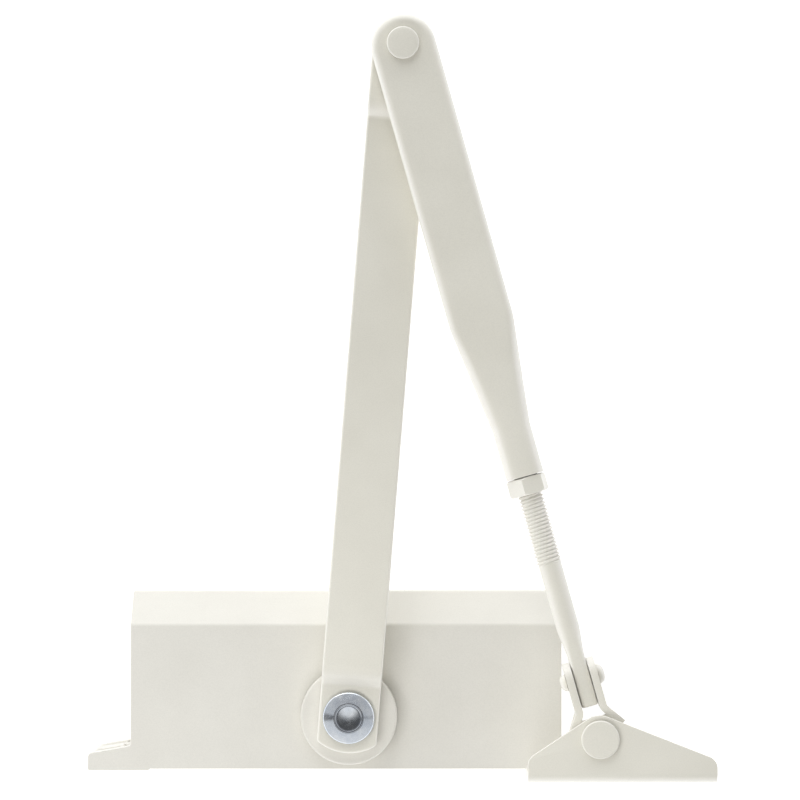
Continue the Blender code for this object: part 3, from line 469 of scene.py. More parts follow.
def piece(obj, place, material, slot, body, *nodes):
    """Bake the modifiers, shade, put in place and hand over to the frame.

    Tool marks are rings round the object's own axis, so only those finishes keep the piece's own frame.
    """
    weighted = obj.modifiers.new("normals", "WEIGHTED_NORMAL")
    weighted.keep_sharp = True
    cutters = [modifier.object for modifier in obj.modifiers if modifier.type == "BOOLEAN"]
    obj.data.shade_smooth()
    bpy.context.view_layer.update()
    evaluated = obj.evaluated_get(bpy.context.evaluated_depsgraph_get())
    mesh = bpy.data.meshes.new_from_object(evaluated)
    obj.modifiers.clear()
    for cutter in cutters:
        bpy.data.objects.remove(cutter, do_unlink=True)
    obj.data = mesh
    mesh.name = obj.name
    mesh.materials.clear()
    mesh.materials.append(material)
    mesh.polygons.foreach_set("material_index", [0] * len(mesh.polygons))
    mesh.shade_smooth()
    mesh.set_sharp_from_angle(angle=math.radians(38))
    if material in (ZINC, STEEL, BRASS):
        obj.matrix_world = place
    else:
        mesh.transform(place)
    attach(obj, body)
    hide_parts(*nodes)
    return obj


# ---------------------------------------------------------------- closer body

def rounded_outline(corners, steps=6):
    """A closed outline from (x, y, radius) corners, each turned into an arc."""
    outline = []
    for i, (x, y, radius) in enumerate(corners):
        corner = Vector((x, y))
        before = Vector(corners[i - 1][:2])
        after = Vector(corners[(i + 1) % len(corners)][:2])
        enter = (corner - before).normalized()
        leave = (after - corner).normalized()
        turn = enter.angle_signed(leave)
        if radius == 0 or abs(turn) < 0.001:
            outline.append((x, y))
            continue
        start = corner - enter * radius * math.tan(abs(turn) / 2)
        side = 1 if turn < 0 else -1
        centre = start + side * radius * Vector((-enter.y, enter.x))
        for k in range(steps + 1):
            outline.append(tuple(centre + Matrix.Rotation(-turn * k / steps, 2) @ (start - centre)))
    return outline


def casting_outline():
    """The body and its feet seen down the spindle, with the shallow relief of the back."""
    tip = BODY_LENGTH / 2 + FOOT_LENGTH
    end = BODY_LENGTH / 2
    pad = BODY_LENGTH / 2 - PAD_REACH
    half = [(pad - BASE_RELIEF, -BASE_RELIEF, 0), (pad, 0, 0), (tip, 0, 0.4 * MM),
            (tip, -FOOT_TIP_THICKNESS, 1.2 * MM), (end, -FOOT_ROOT_THICKNESS, 1.2 * MM),
            (end, -BODY_PROJECTION, 0.6 * MM)]
    return rounded_outline(half + [(-x, y, radius) for x, y, radius in reversed(half)])


def casting_section():
    """The body seen along its length, with its two facets: (-y, z)."""
    half = BODY_HEIGHT / 2
    nose = half - FACET_DEPTH
    corners = [(-2 * MM, -half, 0), (FACET_START, -half, 1.6 * MM), (BODY_PROJECTION, -nose, 1.6 * MM),
               (BODY_PROJECTION, nose, 1.6 * MM), (FACET_START, half, 1.6 * MM), (-2 * MM, half, 0)]
    return [(-y, z) for y, z in rounded_outline(corners)]


def slot_ring(grow):
    straight = (SLOT_LENGTH - SLOT_WIDTH) / 2
    radius = SLOT_WIDTH / 2 + grow
    return arc((straight, 0), radius, -90, 90, 16) + arc((-straight, 0), radius, 90, 270, 16)


def slot_cutter():
    """A slot that opens with a small chamfer at the face of the foot, standing along Z."""
    chamfer = 0.6 * MM
    levels = [(-BODY_PROJECTION, 0), (-chamfer, 0), (0, chamfer), (3 * MM, chamfer + 3 * MM)]
    bm = bmesh.new()
    loops = [[bm.verts.new((x, y, z)) for x, y in slot_ring(grow)] for z, grow in levels]
    for low, high in zip(loops, loops[1:]):
        for i in range(len(low)):
            j = (i + 1) % len(low)
            bm.faces.new((low[i], low[j], high[j], high[i]))
    bm.faces.new(loops[0][::-1])
    bm.faces.new(loops[-1])
    return bmesh_to_mesh(bm, "slot")


def make_housing():
    section = plate("housing_casting", casting_section(), -BODY_LENGTH, BODY_LENGTH)
    housing = add_object("housing_casting", moved(section, UPRIGHT))
    boolean(housing, plate("outline", casting_outline(), -BODY_HEIGHT, BODY_HEIGHT), "INTERSECT")
    bevel(housing, 0.5 * MM, 3, 50)
    reach = CENTRE_LAND_LENGTH / 2
    rise = CENTRE_LAND_HEIGHT / 2
    land = rounded_outline([(x, z, CENTRE_LAND_CORNER)
                            for x, z in ((-reach, -rise), (reach, -rise), (reach, rise), (-reach, rise))])
    stand = Matrix.Rotation(math.pi / 2, 4, "X")
    boolean(housing, moved(plate("centre_land", land, 0, CENTRE_LAND_DEPTH), stand), "UNION")
    seat = BODY_LENGTH / 2 - PLUG_LENGTH
    wide = PLUG_RADIUS + GAP
    mouth = BODY_LENGTH / 2 - 0.5 * MM
    half_bore = [(wide + 4 * MM, mouth + 4 * MM), (wide, mouth), (wide, seat), (BORE_RADIUS, seat)]
    stepped_bore = [(0, mouth + 4 * MM)] + half_bore
    stepped_bore += [(radius, -z) for radius, z in reversed(half_bore)] + [(0, -mouth - 4 * MM)]
    boolean(housing, moved(turned("stepped_bore", stepped_bore), along_x(0, BORE_Y)))
    boolean(housing, moved(pin_cutter(CHAMBER_RADIUS, BODY_HEIGHT), SPINDLE))
    fall = FOOT_ROOT_THICKNESS - FOOT_TIP_THICKNESS
    slope = math.atan2(fall, FOOT_LENGTH)
    face = FOOT_ROOT_THICKNESS - fall * SLOT_REACH / FOOT_LENGTH
    for side in (-1, 1):
        for level in (-1, 1):
            lean = Matrix.Rotation(side * slope, 4, "Z")
            at = Matrix.Translation((side * (BODY_LENGTH / 2 + SLOT_REACH), -face, level * SLOT_OFFSET_Z))
            boolean(housing, moved(slot_cutter(), at @ lean @ stand))
    for level in (-1, 1):
        bore = VALVE_RADIUS + GAP
        profile = [(0, 3 * MM), (bore + 3.4 * MM, 3 * MM), (bore, -0.4 * MM), (bore, -22 * MM), (0, -24 * MM)]
        place = along_x(BODY_LENGTH / 2, VALVE_Y, level * VALVE_OFFSET_Z)
        boolean(housing, moved(turned("valve_bore", profile, SMALL_ROUND), place))
    piece(housing, Matrix.Identity(4), CASTING_PAINT, "painted_casting", "closer_body", "housing")


def make_end_plug(name, node, side):
    face = BODY_LENGTH / 2 - PLUG_RECESS
    inner_end = PLUG_INNER_END - face
    groove_low = -12 * MM
    groove_high = groove_low + 2.4 * MM
    groove_root = PLUG_RADIUS - 1.8 * MM
    rim = 0.9 * MM
    profile = [(0, -0.5 * MM), (9.2 * MM, -0.5 * MM), (9.8 * MM, 0), (PLUG_RADIUS - rim, 0)]
    profile += arc((PLUG_RADIUS - rim, -rim), rim, 75, 0, 4)
    profile += [(PLUG_RADIUS, groove_high), (groove_root, groove_high), (groove_root, groove_low),
                (PLUG_RADIUS, groove_low), (PLUG_RADIUS, inner_end + 0.5 * MM),
                (PLUG_RADIUS - 0.5 * MM, inner_end), (0, inner_end)]
    plug = add_object(name, turned(name, profile))
    boolean(plug, plate("socket", arc((0, 0), 5.8 * MM, 0, 300, 5), -6 * MM, 2 * MM))
    cone = [(0, 2 * MM), (8.0 * MM, 2 * MM), (5.2 * MM, -1.6 * MM), (0, -1.6 * MM)]
    boolean(plug, turned("lead_in", cone, SMALL_ROUND))
    piece(plug, along_x(side * face, BORE_Y, 0, side), STEEL, "machined_steel", "closer_body", node)


def make_collar(name, node, height, flip):
    low = BODY_HEIGHT / 2 + GAP
    plug_end = BODY_HEIGHT / 2 - COLLAR_PLUG_DEPTH
    rim = 0.9 * MM
    foot = 0.3 * MM
    profile = [(JOURNAL_RADIUS + GAP, height - 0.4 * MM), (JOURNAL_RADIUS + 0.7 * MM, height)]
    profile += arc((COLLAR_RADIUS - rim, height - rim), rim, 90, 0, 8)
    profile += arc((COLLAR_RADIUS - foot, low + foot), foot, 0, -90, 3)
    profile += [(CHAMBER_RADIUS - GAP, low), (CHAMBER_RADIUS - GAP, plug_end),
                (SEAL_CHAMBER_RADIUS, plug_end), (SEAL_CHAMBER_RADIUS, low), (JOURNAL_RADIUS + GAP, low)]
    collar = add_object(name, moved(turned(name, profile, 128), flip))
    piece(collar, SPINDLE, CASTING_PAINT, "painted_casting", "closer_body", node)


def make_cap():
    """The snap-in plastic cap, with a gate mark in a small dimple and a finger groove."""
    top = LOWER_COLLAR_BOTTOM - GAP
    low = top - 2.8 * MM
    profile = [(0, top), (8.6 * MM, top), (9 * MM, top - 0.4 * MM), (9 * MM, top - 1.0 * MM)]
    profile += arc((7.5 * MM, top - 1.2 * MM), 1.5 * MM, 0, -80, 6)
    profile += [(6.6 * MM, low + 0.1 * MM), (6.1 * MM, low + 0.5 * MM), (5.6 * MM, low + 0.1 * MM),
                (5.2 * MM, low), (1.4 * MM, low), (1.1 * MM, low + 0.4 * MM), (0.5 * MM, low + 0.4 * MM),
                (0.3 * MM, low + 0.2 * MM), (0, low + 0.2 * MM)]
    cap = add_object("spindle_cap", turned("spindle_cap", profile))
    piece(cap, SPINDLE, CAP_PLASTIC, "cap_plastic", "closer_body", "spindle_end_cap")


def make_valve(name, node, level):
    groove = 3.4 * MM
    groove_end = groove + 1.6 * MM
    core = VALVE_RADIUS - MM
    profile = [(0, 0), (VALVE_RADIUS - 0.4 * MM, 0), (VALVE_RADIUS - 0.1 * MM, -0.15 * MM),
               (VALVE_RADIUS, -0.4 * MM), (VALVE_RADIUS, -groove), (core, -groove), (core, -groove_end),
               (VALVE_RADIUS, -groove_end)]
    turn = 0.4 * MM
    depth = groove + 2.2 * MM
    while depth < 13 * MM:
        profile += [(VALVE_RADIUS, -depth), (VALVE_RADIUS - 0.22 * MM, -depth - turn / 2),
                    (VALVE_RADIUS, -depth - turn)]
        depth += 2 * turn
    profile += [(VALVE_RADIUS - 0.2 * MM, -14 * MM), (1.6 * MM, -16 * MM), (1.0 * MM, -20 * MM),
                (0, -20.5 * MM)]
    valve = add_object(name, turned(name, profile, SMALL_ROUND))
    length = 4 * MM
    width = 0.45 * MM
    slot = [(-length, -width), (length, -width), (length, width), (-length, width)]
    boolean(valve, plate("slot", slot, -1.4 * MM, MM))
    place = along_x(BODY_LENGTH / 2 - 0.6 * MM, VALVE_Y, level * VALVE_OFFSET_Z)
    piece(valve, place, BRASS, "valve_brass", node, node)


def tube_mesh(name, path, radius, sides):
    """A closed round wire along a path of points."""
    bm = bmesh.new()
    loops = []
    normal = Vector((0, 0, 1))
    for i, point in enumerate(path):
        ahead = path[min(i + 1, len(path) - 1)] - path[max(i - 1, 0)]
        ahead.normalize()
        normal = (normal - ahead * normal.dot(ahead)).normalized()
        across = ahead.cross(normal)
        angles = [math.tau * k / sides for k in range(sides)]
        loops.append([bm.verts.new(point + radius * (math.cos(angle) * normal + math.sin(angle) * across))
                      for angle in angles])
    for first, second in zip(loops, loops[1:]):
        for k in range(sides):
            n = (k + 1) % sides
            bm.faces.new((first[k], first[n], second[n], second[k]))
    bm.faces.new(loops[0][::-1])
    bm.faces.new(loops[-1])
    return bmesh_to_mesh(bm, name)


def make_spring():
    """A compression spring between the plug and the piston."""
    start = -PLUG_INNER_END + SPRING_WIRE_RADIUS + GAP
    end = SPRING_END
    per_turn = 40
    count = SPRING_TURNS * per_turn
    path = []
    for i in range(count + 1):
        x = start + (end - start) * i / count
        angle = math.tau * i / per_turn
        path.append(Vector((x, BORE_Y + SPRING_RADIUS * math.cos(angle), SPRING_RADIUS * math.sin(angle))))
    spring = add_object("return_coil", tube_mesh("return_coil", path, SPRING_WIRE_RADIUS, 16))
    piece(spring, Matrix.Identity(4), SPRING_STEEL, "spring_steel", "closer_body", "return_spring")
    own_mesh(spring)


# ---------------------------------------------------------------- main arm

def make_main_arm():
    middle = ARM_THICKNESS / 2
    path = [(20 * MM, ARM_LOW + middle), (-11.5 * MM, ARM_LOW + middle), (-16.4 * MM, ARM_MIDDLE + middle),
            (-202 * MM, ARM_MIDDLE + middle), (-205.4 * MM, ARM_HIGH + middle),
            (-ARM_CENTRES - 20 * MM, ARM_HIGH + middle)]
    side_view = plate("main_arm", bent_strip(path, ARM_THICKNESS, 4.5 * MM), -ARM_WIDTH, ARM_WIDTH)
    half = ARM_WIDTH / 2
    reach = math.degrees(math.asin(half / ARM_END_RADIUS))
    spindle_end = arc((0, ARM_END_REACH - ARM_END_RADIUS), ARM_END_RADIUS, 90 + reach, 90 - reach, 24)
    elbow_end = arc((0, FOREARM_END_SETBACK - ARM_CENTRES), half, 0, -180, 40)
    arm = add_object("main_arm_bar", moved(side_view, UPRIGHT))
    boolean(arm, plate("arm_outline", spindle_end + elbow_end, 0, BODY_PROJECTION), "INTERSECT")
    bevel(arm, 1.5 * MM, 4, 50)
    size = SQUARE_SIZE / 2 + GAP
    square = [(-size, -size), (size, -size), (size, size), (-size, size)]
    boolean(arm, plate("square_hole", square, 0, BODY_PROJECTION))
    hole = pin_cutter(ELBOW_PIN_RADIUS + GAP, BODY_PROJECTION)
    boolean(arm, moved(hole, Matrix.Translation((0, -ARM_CENTRES, 0))))
    piece(arm, ARM_PLACE, STEEL_PAINT, "painted_steel", "pinion", "main_arm")


def make_arm_screw():
    """A conical zinc-plated head with a shallow round dish in it."""
    seat = ARM_LOW + ARM_THICKNESS + GAP
    top = seat + ARM_SCREW_HEAD_HEIGHT
    end = seat - ARM_SCREW_LENGTH
    rim = ARM_SCREW_HEAD_RADIUS
    dish = 4.3 * MM
    sphere = 22 * MM
    floor = top - 0.75 * MM
    steps = 7
    profile = []
    for i in range(steps + 1):
        angle = i / steps * math.asin(dish / sphere)
        profile.append((sphere * math.sin(angle), floor + sphere * (1 - math.cos(angle))))
    profile += [(dish + 0.3 * MM, top), (4.9 * MM, top - 0.02 * MM),
                (5.1 * MM, top - 0.1 * MM), (rim - 0.5 * MM, top - 1.8 * MM),
                (rim - 0.2 * MM, top - 2.0 * MM), (rim, top - 2.3 * MM), (rim, seat + 0.2 * MM),
                (rim - 0.2 * MM, seat), (ARM_SCREW_RADIUS, seat), (ARM_SCREW_RADIUS, end + 0.6 * MM),
                (ARM_SCREW_RADIUS - 0.6 * MM, end), (0, end)]
    screw = add_object("arm_screw_head", turned("arm_screw_head", profile, 128))
    piece(screw, SPINDLE, ZINC, "zinc_plate", "pinion", "arm_screw")


# ---------------------------------------------------------------- forearm

CURL_ANGLES = ((0, -86), (0.15, -52), (0.30, -20), (0.37, 5), (0.437, 27), (0.503, 48), (0.75, 69), (1, 90))


def curl_angle(share):
    for (start, low), (end, high) in zip(CURL_ANGLES, CURL_ANGLES[1:]):
        if share <= end:
            return low + (high - low) * (share - start) / (end - start)
    return CURL_ANGLES[-1][1]


def tube_radius(angle):
    """The rolled tube is round below and keeps some of the flat on top."""
    if angle <= 0:
        return TUBE_RADIUS
    power = 3.0
    return TUBE_RADIUS / (math.cos(angle) ** power + math.sin(angle) ** power) ** (1 / power)


def forearm_section(distance):
    """Half of the pressed section, from the free edge up the side and in to the middle: (across, height)."""
    share = min(1, max(0, (distance - TAPER_START) / (TUBE_START - TAPER_START)))
    width = FOREARM_HALF_WIDTH + (TUBE_RADIUS - FOREARM_HALF_WIDTH) * share
    curl = share * share * (3 - 2 * share)
    side = FOREARM_DEPTH - FOREARM_CORNER
    channel = [(width, FOREARM_TOP - FOREARM_DEPTH + side * i / 6) for i in range(6)]
    channel += arc((width - FOREARM_CORNER, FOREARM_TOP - FOREARM_CORNER), FOREARM_CORNER, 0, 90, 8)
    flat = width - FOREARM_CORNER
    channel += [(flat * (1 - i / 6), FOREARM_TOP) for i in range(1, 7)]
    walked = [0.0]
    for (x0, z0), (x1, z1) in zip(channel, channel[1:]):
        walked.append(walked[-1] + math.hypot(x1 - x0, z1 - z0))
    section = []
    for (across, height), way in zip(channel, walked):
        radius = math.hypot(across, height - ROD_Z)
        angle = math.atan2(height - ROD_Z, across)
        rolled = math.radians(curl_angle(way / walked[-1]))
        radius += (tube_radius(rolled) - radius) * curl
        angle += (rolled - angle) * curl
        section.append((radius * math.cos(angle), ROD_Z + radius * math.sin(angle)))
    widest = max(across for across, height in section)
    section[-1] = (0, FOREARM_TOP)
    return [(across * width / widest, height) for across, height in section]


def make_forearm():
    bm = bmesh.new()
    taper_steps = 36
    distances = [TUBE_END, (TUBE_END + TUBE_START) / 2, TUBE_START]
    step = (TAPER_START - TUBE_START) / taper_steps
    distances += [TUBE_START + step * i for i in range(1, taper_steps + 1)]
    distances += [TAPER_START * 0.75, TAPER_START * 0.5, TAPER_START * 0.25, FOREARM_END_SETBACK]
    rows = [[bm.verts.new((across, distance, height)) for across, height in forearm_section(distance)]
            for distance in distances]
    round_steps = 24
    for i in range(1, round_steps + 1):
        angle = math.pi / 2 * i / round_steps
        along = math.cos(angle)
        back = math.sin(angle)
        rows.append([bm.verts.new((across * along, FOREARM_END_SETBACK - across * back, height))
                     for across, height in forearm_section(0)])
    for first, second in zip(rows, rows[1:]):
        for i in range(len(first) - 1):
            bm.faces.new((first[i], first[i + 1], second[i + 1], second[i]))
    bmesh.ops.remove_doubles(bm, verts=bm.verts[:], dist=0.00002)
    half = bm.verts[:] + bm.edges[:] + bm.faces[:]
    copy = bmesh.ops.duplicate(bm, geom=half)["geom"]
    mirrored = [item for item in copy if isinstance(item, bmesh.types.BMVert)]
    bmesh.ops.scale(bm, vec=(-1, 1, 1), verts=mirrored)
    bmesh.ops.reverse_faces(bm, faces=[item for item in copy if isinstance(item, bmesh.types.BMFace)])
    joined = [vert for vert in bm.verts if abs(vert.co.x) < 0.00001]
    bmesh.ops.remove_doubles(bm, verts=joined, dist=0.00002)
    mesh = bmesh_to_mesh(bm, "forearm_pressing")
    if sum(polygon.normal.z * polygon.area for polygon in mesh.polygons) < 0:
        mesh.flip_normals()
    forearm = add_object("forearm_pressing", mesh)
    shell = forearm.modifiers.new("wall", "SOLIDIFY")
    shell.thickness = FOREARM_WALL
    shell.offset = -1
    shell.use_even_offset = True
    bevel(forearm, 0.35 * MM, 3, 55)
    boolean(forearm, pin_cutter(ELBOW_PIN_RADIUS + GAP, BODY_PROJECTION))
    piece(forearm, ELBOW_PLACE, STEEL_PAINT, "painted_steel", "forearm", "forearm")


def make_elbow():
    top = FOREARM_TOP + GAP
    underside = ARM_HIGH - GAP
    rim = ELBOW_HEAD_RADIUS
    profile = [(0, top + 2.5 * MM), (rim * 0.4, top + 2.46 * MM), (rim * 0.7, top + 2.34 * MM)]
    profile += arc((rim - 0.7 * MM, top + 1.5 * MM), 0.7 * MM, 76, 0, 7)
    profile += [(rim, top + 0.2 * MM), (rim - 0.2 * MM, top), (ELBOW_PIN_RADIUS, top),
                (ELBOW_PIN_RADIUS, underside), (5.2 * MM, underside)]
    profile += arc((4.4 * MM, underside - 1.0 * MM), 1.0 * MM, 0, -70, 6)
    profile += [(2.2 * MM, underside - 2.0 * MM), (1.4 * MM, underside - 1.5 * MM), (0, underside - 1.5 * MM)]
    rivet = add_object("elbow_rivet_pin", turned("elbow_rivet_pin", profile))
    piece(rivet, ELBOW_PLACE, STEEL_PAINT, "painted_steel", "forearm", "elbow_rivet")
    low = ARM_HIGH + ARM_THICKNESS + GAP
    high = FOREARM_TOP - FOREARM_WALL - GAP
    bore = ELBOW_PIN_RADIUS + 0.1 * MM
    outer = 7.4 * MM
    edge = 0.4 * MM
    profile = [(bore, high), (outer - edge, high)] + arc((outer - edge, high - edge), edge, 90, 0, 4)
    profile += arc((outer - edge, low + edge), edge, 0, -90, 4) + [(bore, low)]
    spacer = add_object("elbow_washer", turned("elbow_washer", profile))
    piece(spacer, ELBOW_PLACE, BRONZE, "bearing_bronze", "forearm", "elbow_spacer")


# ---------------------------------------------------------------- adjusting rod and lock nut

def smooth_step(value, start, end):
    share = min(1, max(0, (value - start) / (end - start)))
    return share * share * (3 - 2 * share)


def rod_radius(distance, angle):
    """A rolled thread with rounded crests, softened by the paint, that runs out at both ends."""
    depth = smooth_step(distance, THREAD_START, THREAD_START + 1.5 * MM)
    depth *= 1 - smooth_step(distance, THREAD_END - 1.2 * MM, THREAD_END)
    wave = 0.5 - 0.5 * math.cos(math.tau * (distance / THREAD_PITCH) - angle)
    threaded = THREAD_MINOR + (THREAD_MAJOR - THREAD_MINOR) * wave ** 0.8
    return ROD_RADIUS + (threaded - ROD_RADIUS) * depth


def squircle(angle, half_thick, half_wide, power=5.0):
    """A point on a rectangle with soft corners."""
    c = math.cos(angle)
    s = math.sin(angle)
    x = math.copysign(abs(c) ** (2 / power), c) * half_thick
    y = math.copysign(abs(s) ** (2 / power), s) * half_wide
    return x, y


def make_rod():
    sides = 48
    stations = [ROD_START, ROD_START + 0.6 * MM, ROD_START + 6 * MM, THREAD_START - MM]
    rows = round((THREAD_END - THREAD_START + MM) / (THREAD_PITCH / 10))
    stations += [THREAD_START - 0.5 * MM + THREAD_PITCH / 10 * i for i in range(rows + 1)]
    flatten_start = SLAB_START - 6 * MM
    flatten_end = SLAB_START + 6 * MM
    stations += [THREAD_END + 3 * MM, (THREAD_END + flatten_start) / 2]
    stations += [flatten_start + (flatten_end - flatten_start) * i / 20 for i in range(21)]
    stations += [(flatten_end + SLAB_END) / 2, SLAB_END - 0.5 * MM, SLAB_END - 0.2 * MM, SLAB_END]
    bm = bmesh.new()
    loops = []
    for distance in stations:
        flat = smooth_step(distance, flatten_start, flatten_end)
        inset = 1.0
        if distance <= ROD_START:
            inset = 0.84
        if distance >= SLAB_END - 0.25 * MM:
            inset = 0.97
        if distance >= SLAB_END:
            inset = 0.90
        loop = []
        for k in range(sides):
            angle = math.tau * k / sides
            radius = rod_radius(distance, angle)
            round_x = radius * math.cos(angle)
            round_y = radius * math.sin(angle)
            slab_x, slab_y = squircle(angle, SLAB_THICKNESS / 2, SLAB_WIDTH / 2)
            x = (round_x + (slab_x - round_x) * flat) * inset
            y = (round_y + (slab_y - round_y) * flat) * inset
            loop.append(bm.verts.new((x, y, distance)))
        loops.append(loop)
    for first, second in zip(loops, loops[1:]):
        for k in range(sides):
            n = (k + 1) % sides
            bm.faces.new((first[k], first[n], second[n], second[k]))
    bm.faces.new(loops[0][::-1])
    bm.faces.new(loops[-1])
    rod = add_object("threaded_rod", bmesh_to_mesh(bm, "threaded_rod"))
    hole = pin_cutter(CROSS_RIVET_RADIUS + GAP, SLAB_WIDTH)
    boolean(rod, moved(hole, along_x(0, 0, CLEVIS_DISTANCE)))
    piece(rod, along_rod(0), STEEL_PAINT, "painted_steel", "adjusting_rod", "adjusting_rod")


def make_nut():
    corner = NUT_FLATS / 2 / math.cos(math.radians(30))
    nut = add_object("hexagon_nut", plate("hexagon_nut", arc((0, 0), corner, 0, 300, 5), 0, NUT_THICKNESS))
    top = NUT_THICKNESS
    drop = 0.9 * MM
    wide = corner + 0.3 * MM
    narrow = NUT_FLATS - 0.2 * MM - wide
    chamfer = [(0, top + drop), (narrow, top + drop), (wide, top - drop), (wide, drop), (narrow, -drop),
               (0, -drop)]
    boolean(nut, turned("chamfer", chamfer, 128), "INTERSECT")
    hole = THREAD_MAJOR + 0.1 * MM
    mouth = 0.7 * MM
    bore = [(0, top + MM), (hole + mouth + MM, top + MM), (hole, top - mouth), (hole, mouth),
            (hole + mouth + MM, -MM), (0, -MM)]
    boolean(nut, turned("bore", bore, SMALL_ROUND))
    bevel(nut, 0.12 * MM, 2, 25)
    place = along_rod(NUT_START) @ Matrix.Rotation(NUT_TURN, 4, "Z")
    piece(nut, place, STEEL_PAINT, "painted_steel", "lock_nut", "lock_nut")


# ---------------------------------------------------------------- clevis and shoe

def make_clevis():
    low = CLEVIS_TOP - CLEVIS_DISC_THICKNESS
    over = 3 * MM
    high = CLEVIS_TOP + over
    rim = CLEVIS_DISC_RADIUS
    clevis = add_object("clevis_strap", turned("clevis_strap", [(0, high), (rim, high), (rim, low), (0, low)]))
    wide = 5.4 * MM
    flat = -7.2 * MM
    front = [(-wide, -12 * MM), (wide, -12 * MM), (wide, flat), (-wide, flat)]
    boolean(clevis, plate("front_flat", front, 0, 2 * BODY_PROJECTION))
    tip = CROSS_OFFSET + EAR_TIP_RADIUS
    middle = EAR_GAP / 2 + EAR_THICKNESS / 2
    root = EAR_SPREAD + EAR_THICKNESS / 2
    for side in (-1, 1):
        path = [(side * middle, -tip - MM), (side * middle, -EAR_BEND - 0.6 * MM),
                (side * (root + 0.9 * MM), -EAR_ROOT + 0.6 * MM)]
        outline = bent_strip(path, EAR_THICKNESS, 3 * MM, 10)
        boolean(clevis, plate("ear", outline, ROD_Z - 2 * EAR_TIP_RADIUS, CLEVIS_TOP + 2 * MM), "UNION")
    end = arc((-CROSS_OFFSET, ROD_Z), EAR_TIP_RADIUS, 90, 270, 28)
    behind = CLEVIS_DISC_RADIUS + MM
    side_view = end + [(-EAR_BEND, ROD_Z - EAR_TIP_RADIUS), (-EAR_ROOT + MM, low - 2 * MM),
                       (behind, low - 2 * MM), (behind, CLEVIS_TOP)]
    envelope = plate("side_view", side_view, -40 * MM, 40 * MM)
    boolean(clevis, moved(envelope, UPRIGHT), "INTERSECT")
    bevel(clevis, 0.4 * MM, 3, 40)
    hole = pin_cutter(CROSS_RIVET_RADIUS + GAP, 20 * MM)
    boolean(clevis, moved(hole, along_x(0, -CROSS_OFFSET, ROD_Z)))
    boolean(clevis, pin_cutter(SHOE_PIN_RADIUS + GAP, 2 * BODY_PROJECTION))
    piece(clevis, CLEVIS_PLACE, STEEL_PAINT, "painted_steel", "clevis", "clevis")


def make_clevis_rivet():
    reach = EAR_GAP / 2 + EAR_THICKNESS + 0.1 * MM
    dome = [(0, reach + 2.2 * MM), (0.9 * MM, reach + 2.15 * MM), (1.7 * MM, reach + 1.98 * MM),
            (2.4 * MM, reach + 1.66 * MM), (2.9 * MM, reach + 1.25 * MM), (3.2 * MM, reach + 0.75 * MM),
            (3.3 * MM, reach + 0.25 * MM), (3.2 * MM, reach), (CROSS_RIVET_RADIUS, reach)]
    tail = [(CROSS_RIVET_RADIUS, -reach), (2.75 * MM, -reach), (2.85 * MM, -reach - 0.25 * MM),
            (2.75 * MM, -reach - 0.8 * MM), (2.4 * MM, -reach - 1.35 * MM), (1.7 * MM, -reach - 1.85 * MM),
            (1.2 * MM, -reach - 2.05 * MM), (0.8 * MM, -reach - 1.85 * MM), (0, -reach - 1.8 * MM)]
    rivet = add_object("clevis_cross_pin", turned("clevis_cross_pin", dome + tail, SMALL_ROUND))
    place = CLEVIS_PLACE @ along_x(0, -CROSS_OFFSET, ROD_Z, -1)
    piece(rivet, place, STEEL_PAINT, "painted_steel", "clevis", "clevis_rivet")


def shoe_outline():
    right = arc((-SHOE_RIGHT + SHOE_CORNER, 9.5 * MM), SHOE_CORNER, 180, 250, 12)
    left = arc((SHOE_LEFT - SHOE_CORNER, 8.6 * MM), SHOE_CORNER, -58, 0, 12)
    dome = arc((0, 0), SHOE_DOME_RADIUS, 253, 303, 18)
    return [(-SHOE_RIGHT, SHOE_BASE_DROP + MM)] + right + dome + left + [(SHOE_LEFT, SHOE_BASE_DROP + MM)]


def make_shoe():
    """Pressed from one plate: a triangular flange and a base bent down from it."""
    half = SHOE_PLATE / 2
    path = [(SHOE_BASE_DROP - half, SHOE_BOTTOM - MM), (SHOE_BASE_DROP - half, SHOE_FLANGE_TOP - half),
            (-20 * MM, SHOE_FLANGE_TOP - half)]
    bend = plate("shoe_plate", bent_strip(path, SHOE_PLATE, 1.7 * MM, 10), -60 * MM, 60 * MM)
    shoe = add_object("shoe_plate", moved(bend, UPRIGHT))
    boolean(shoe, plate("shoe_outline", shoe_outline(), 0, 0.1), "INTERSECT")
    level = SHOE_BOTTOM + SHOE_CORNER
    face = arc((-SHOE_RIGHT + SHOE_CORNER, level), SHOE_CORNER, 180, 270, 12)
    face += arc((SHOE_LEFT - SHOE_CORNER, level), SHOE_CORNER, 270, 360, 12)
    face += [(SHOE_LEFT, 0.1), (-SHOE_RIGHT, 0.1)]
    stand = Matrix.Rotation(math.pi / 2, 4, "X")
    boolean(shoe, moved(plate("base_outline", face, -0.1, 0.1), stand), "INTERSECT")
    bevel(shoe, 0.7 * MM, 4, 40)
    through = -SHOE_PLATE - MM
    countersink = [(0, 2 * MM), (7.2 * MM, 2 * MM), (SHOE_SCREW_RADIUS, -2.4 * MM),
                   (SHOE_SCREW_RADIUS, through), (0, through)]
    screw_level = (SHOE_BOTTOM + SHOE_FLANGE_BOTTOM) / 2 - 2 * MM
    for x in SHOE_SCREW_POSITIONS:
        at = Matrix.Translation((x, SHOE_BASE_DROP - SHOE_PLATE, screw_level))
        boolean(shoe, moved(turned("screw_hole", countersink, SMALL_ROUND), at @ stand))
    boolean(shoe, pin_cutter(SHOE_PIN_RADIUS + GAP, 2 * BODY_PROJECTION))
    piece(shoe, SHOE_PLACE, STEEL_PAINT, "painted_steel", "shoe", "shoe_bracket")


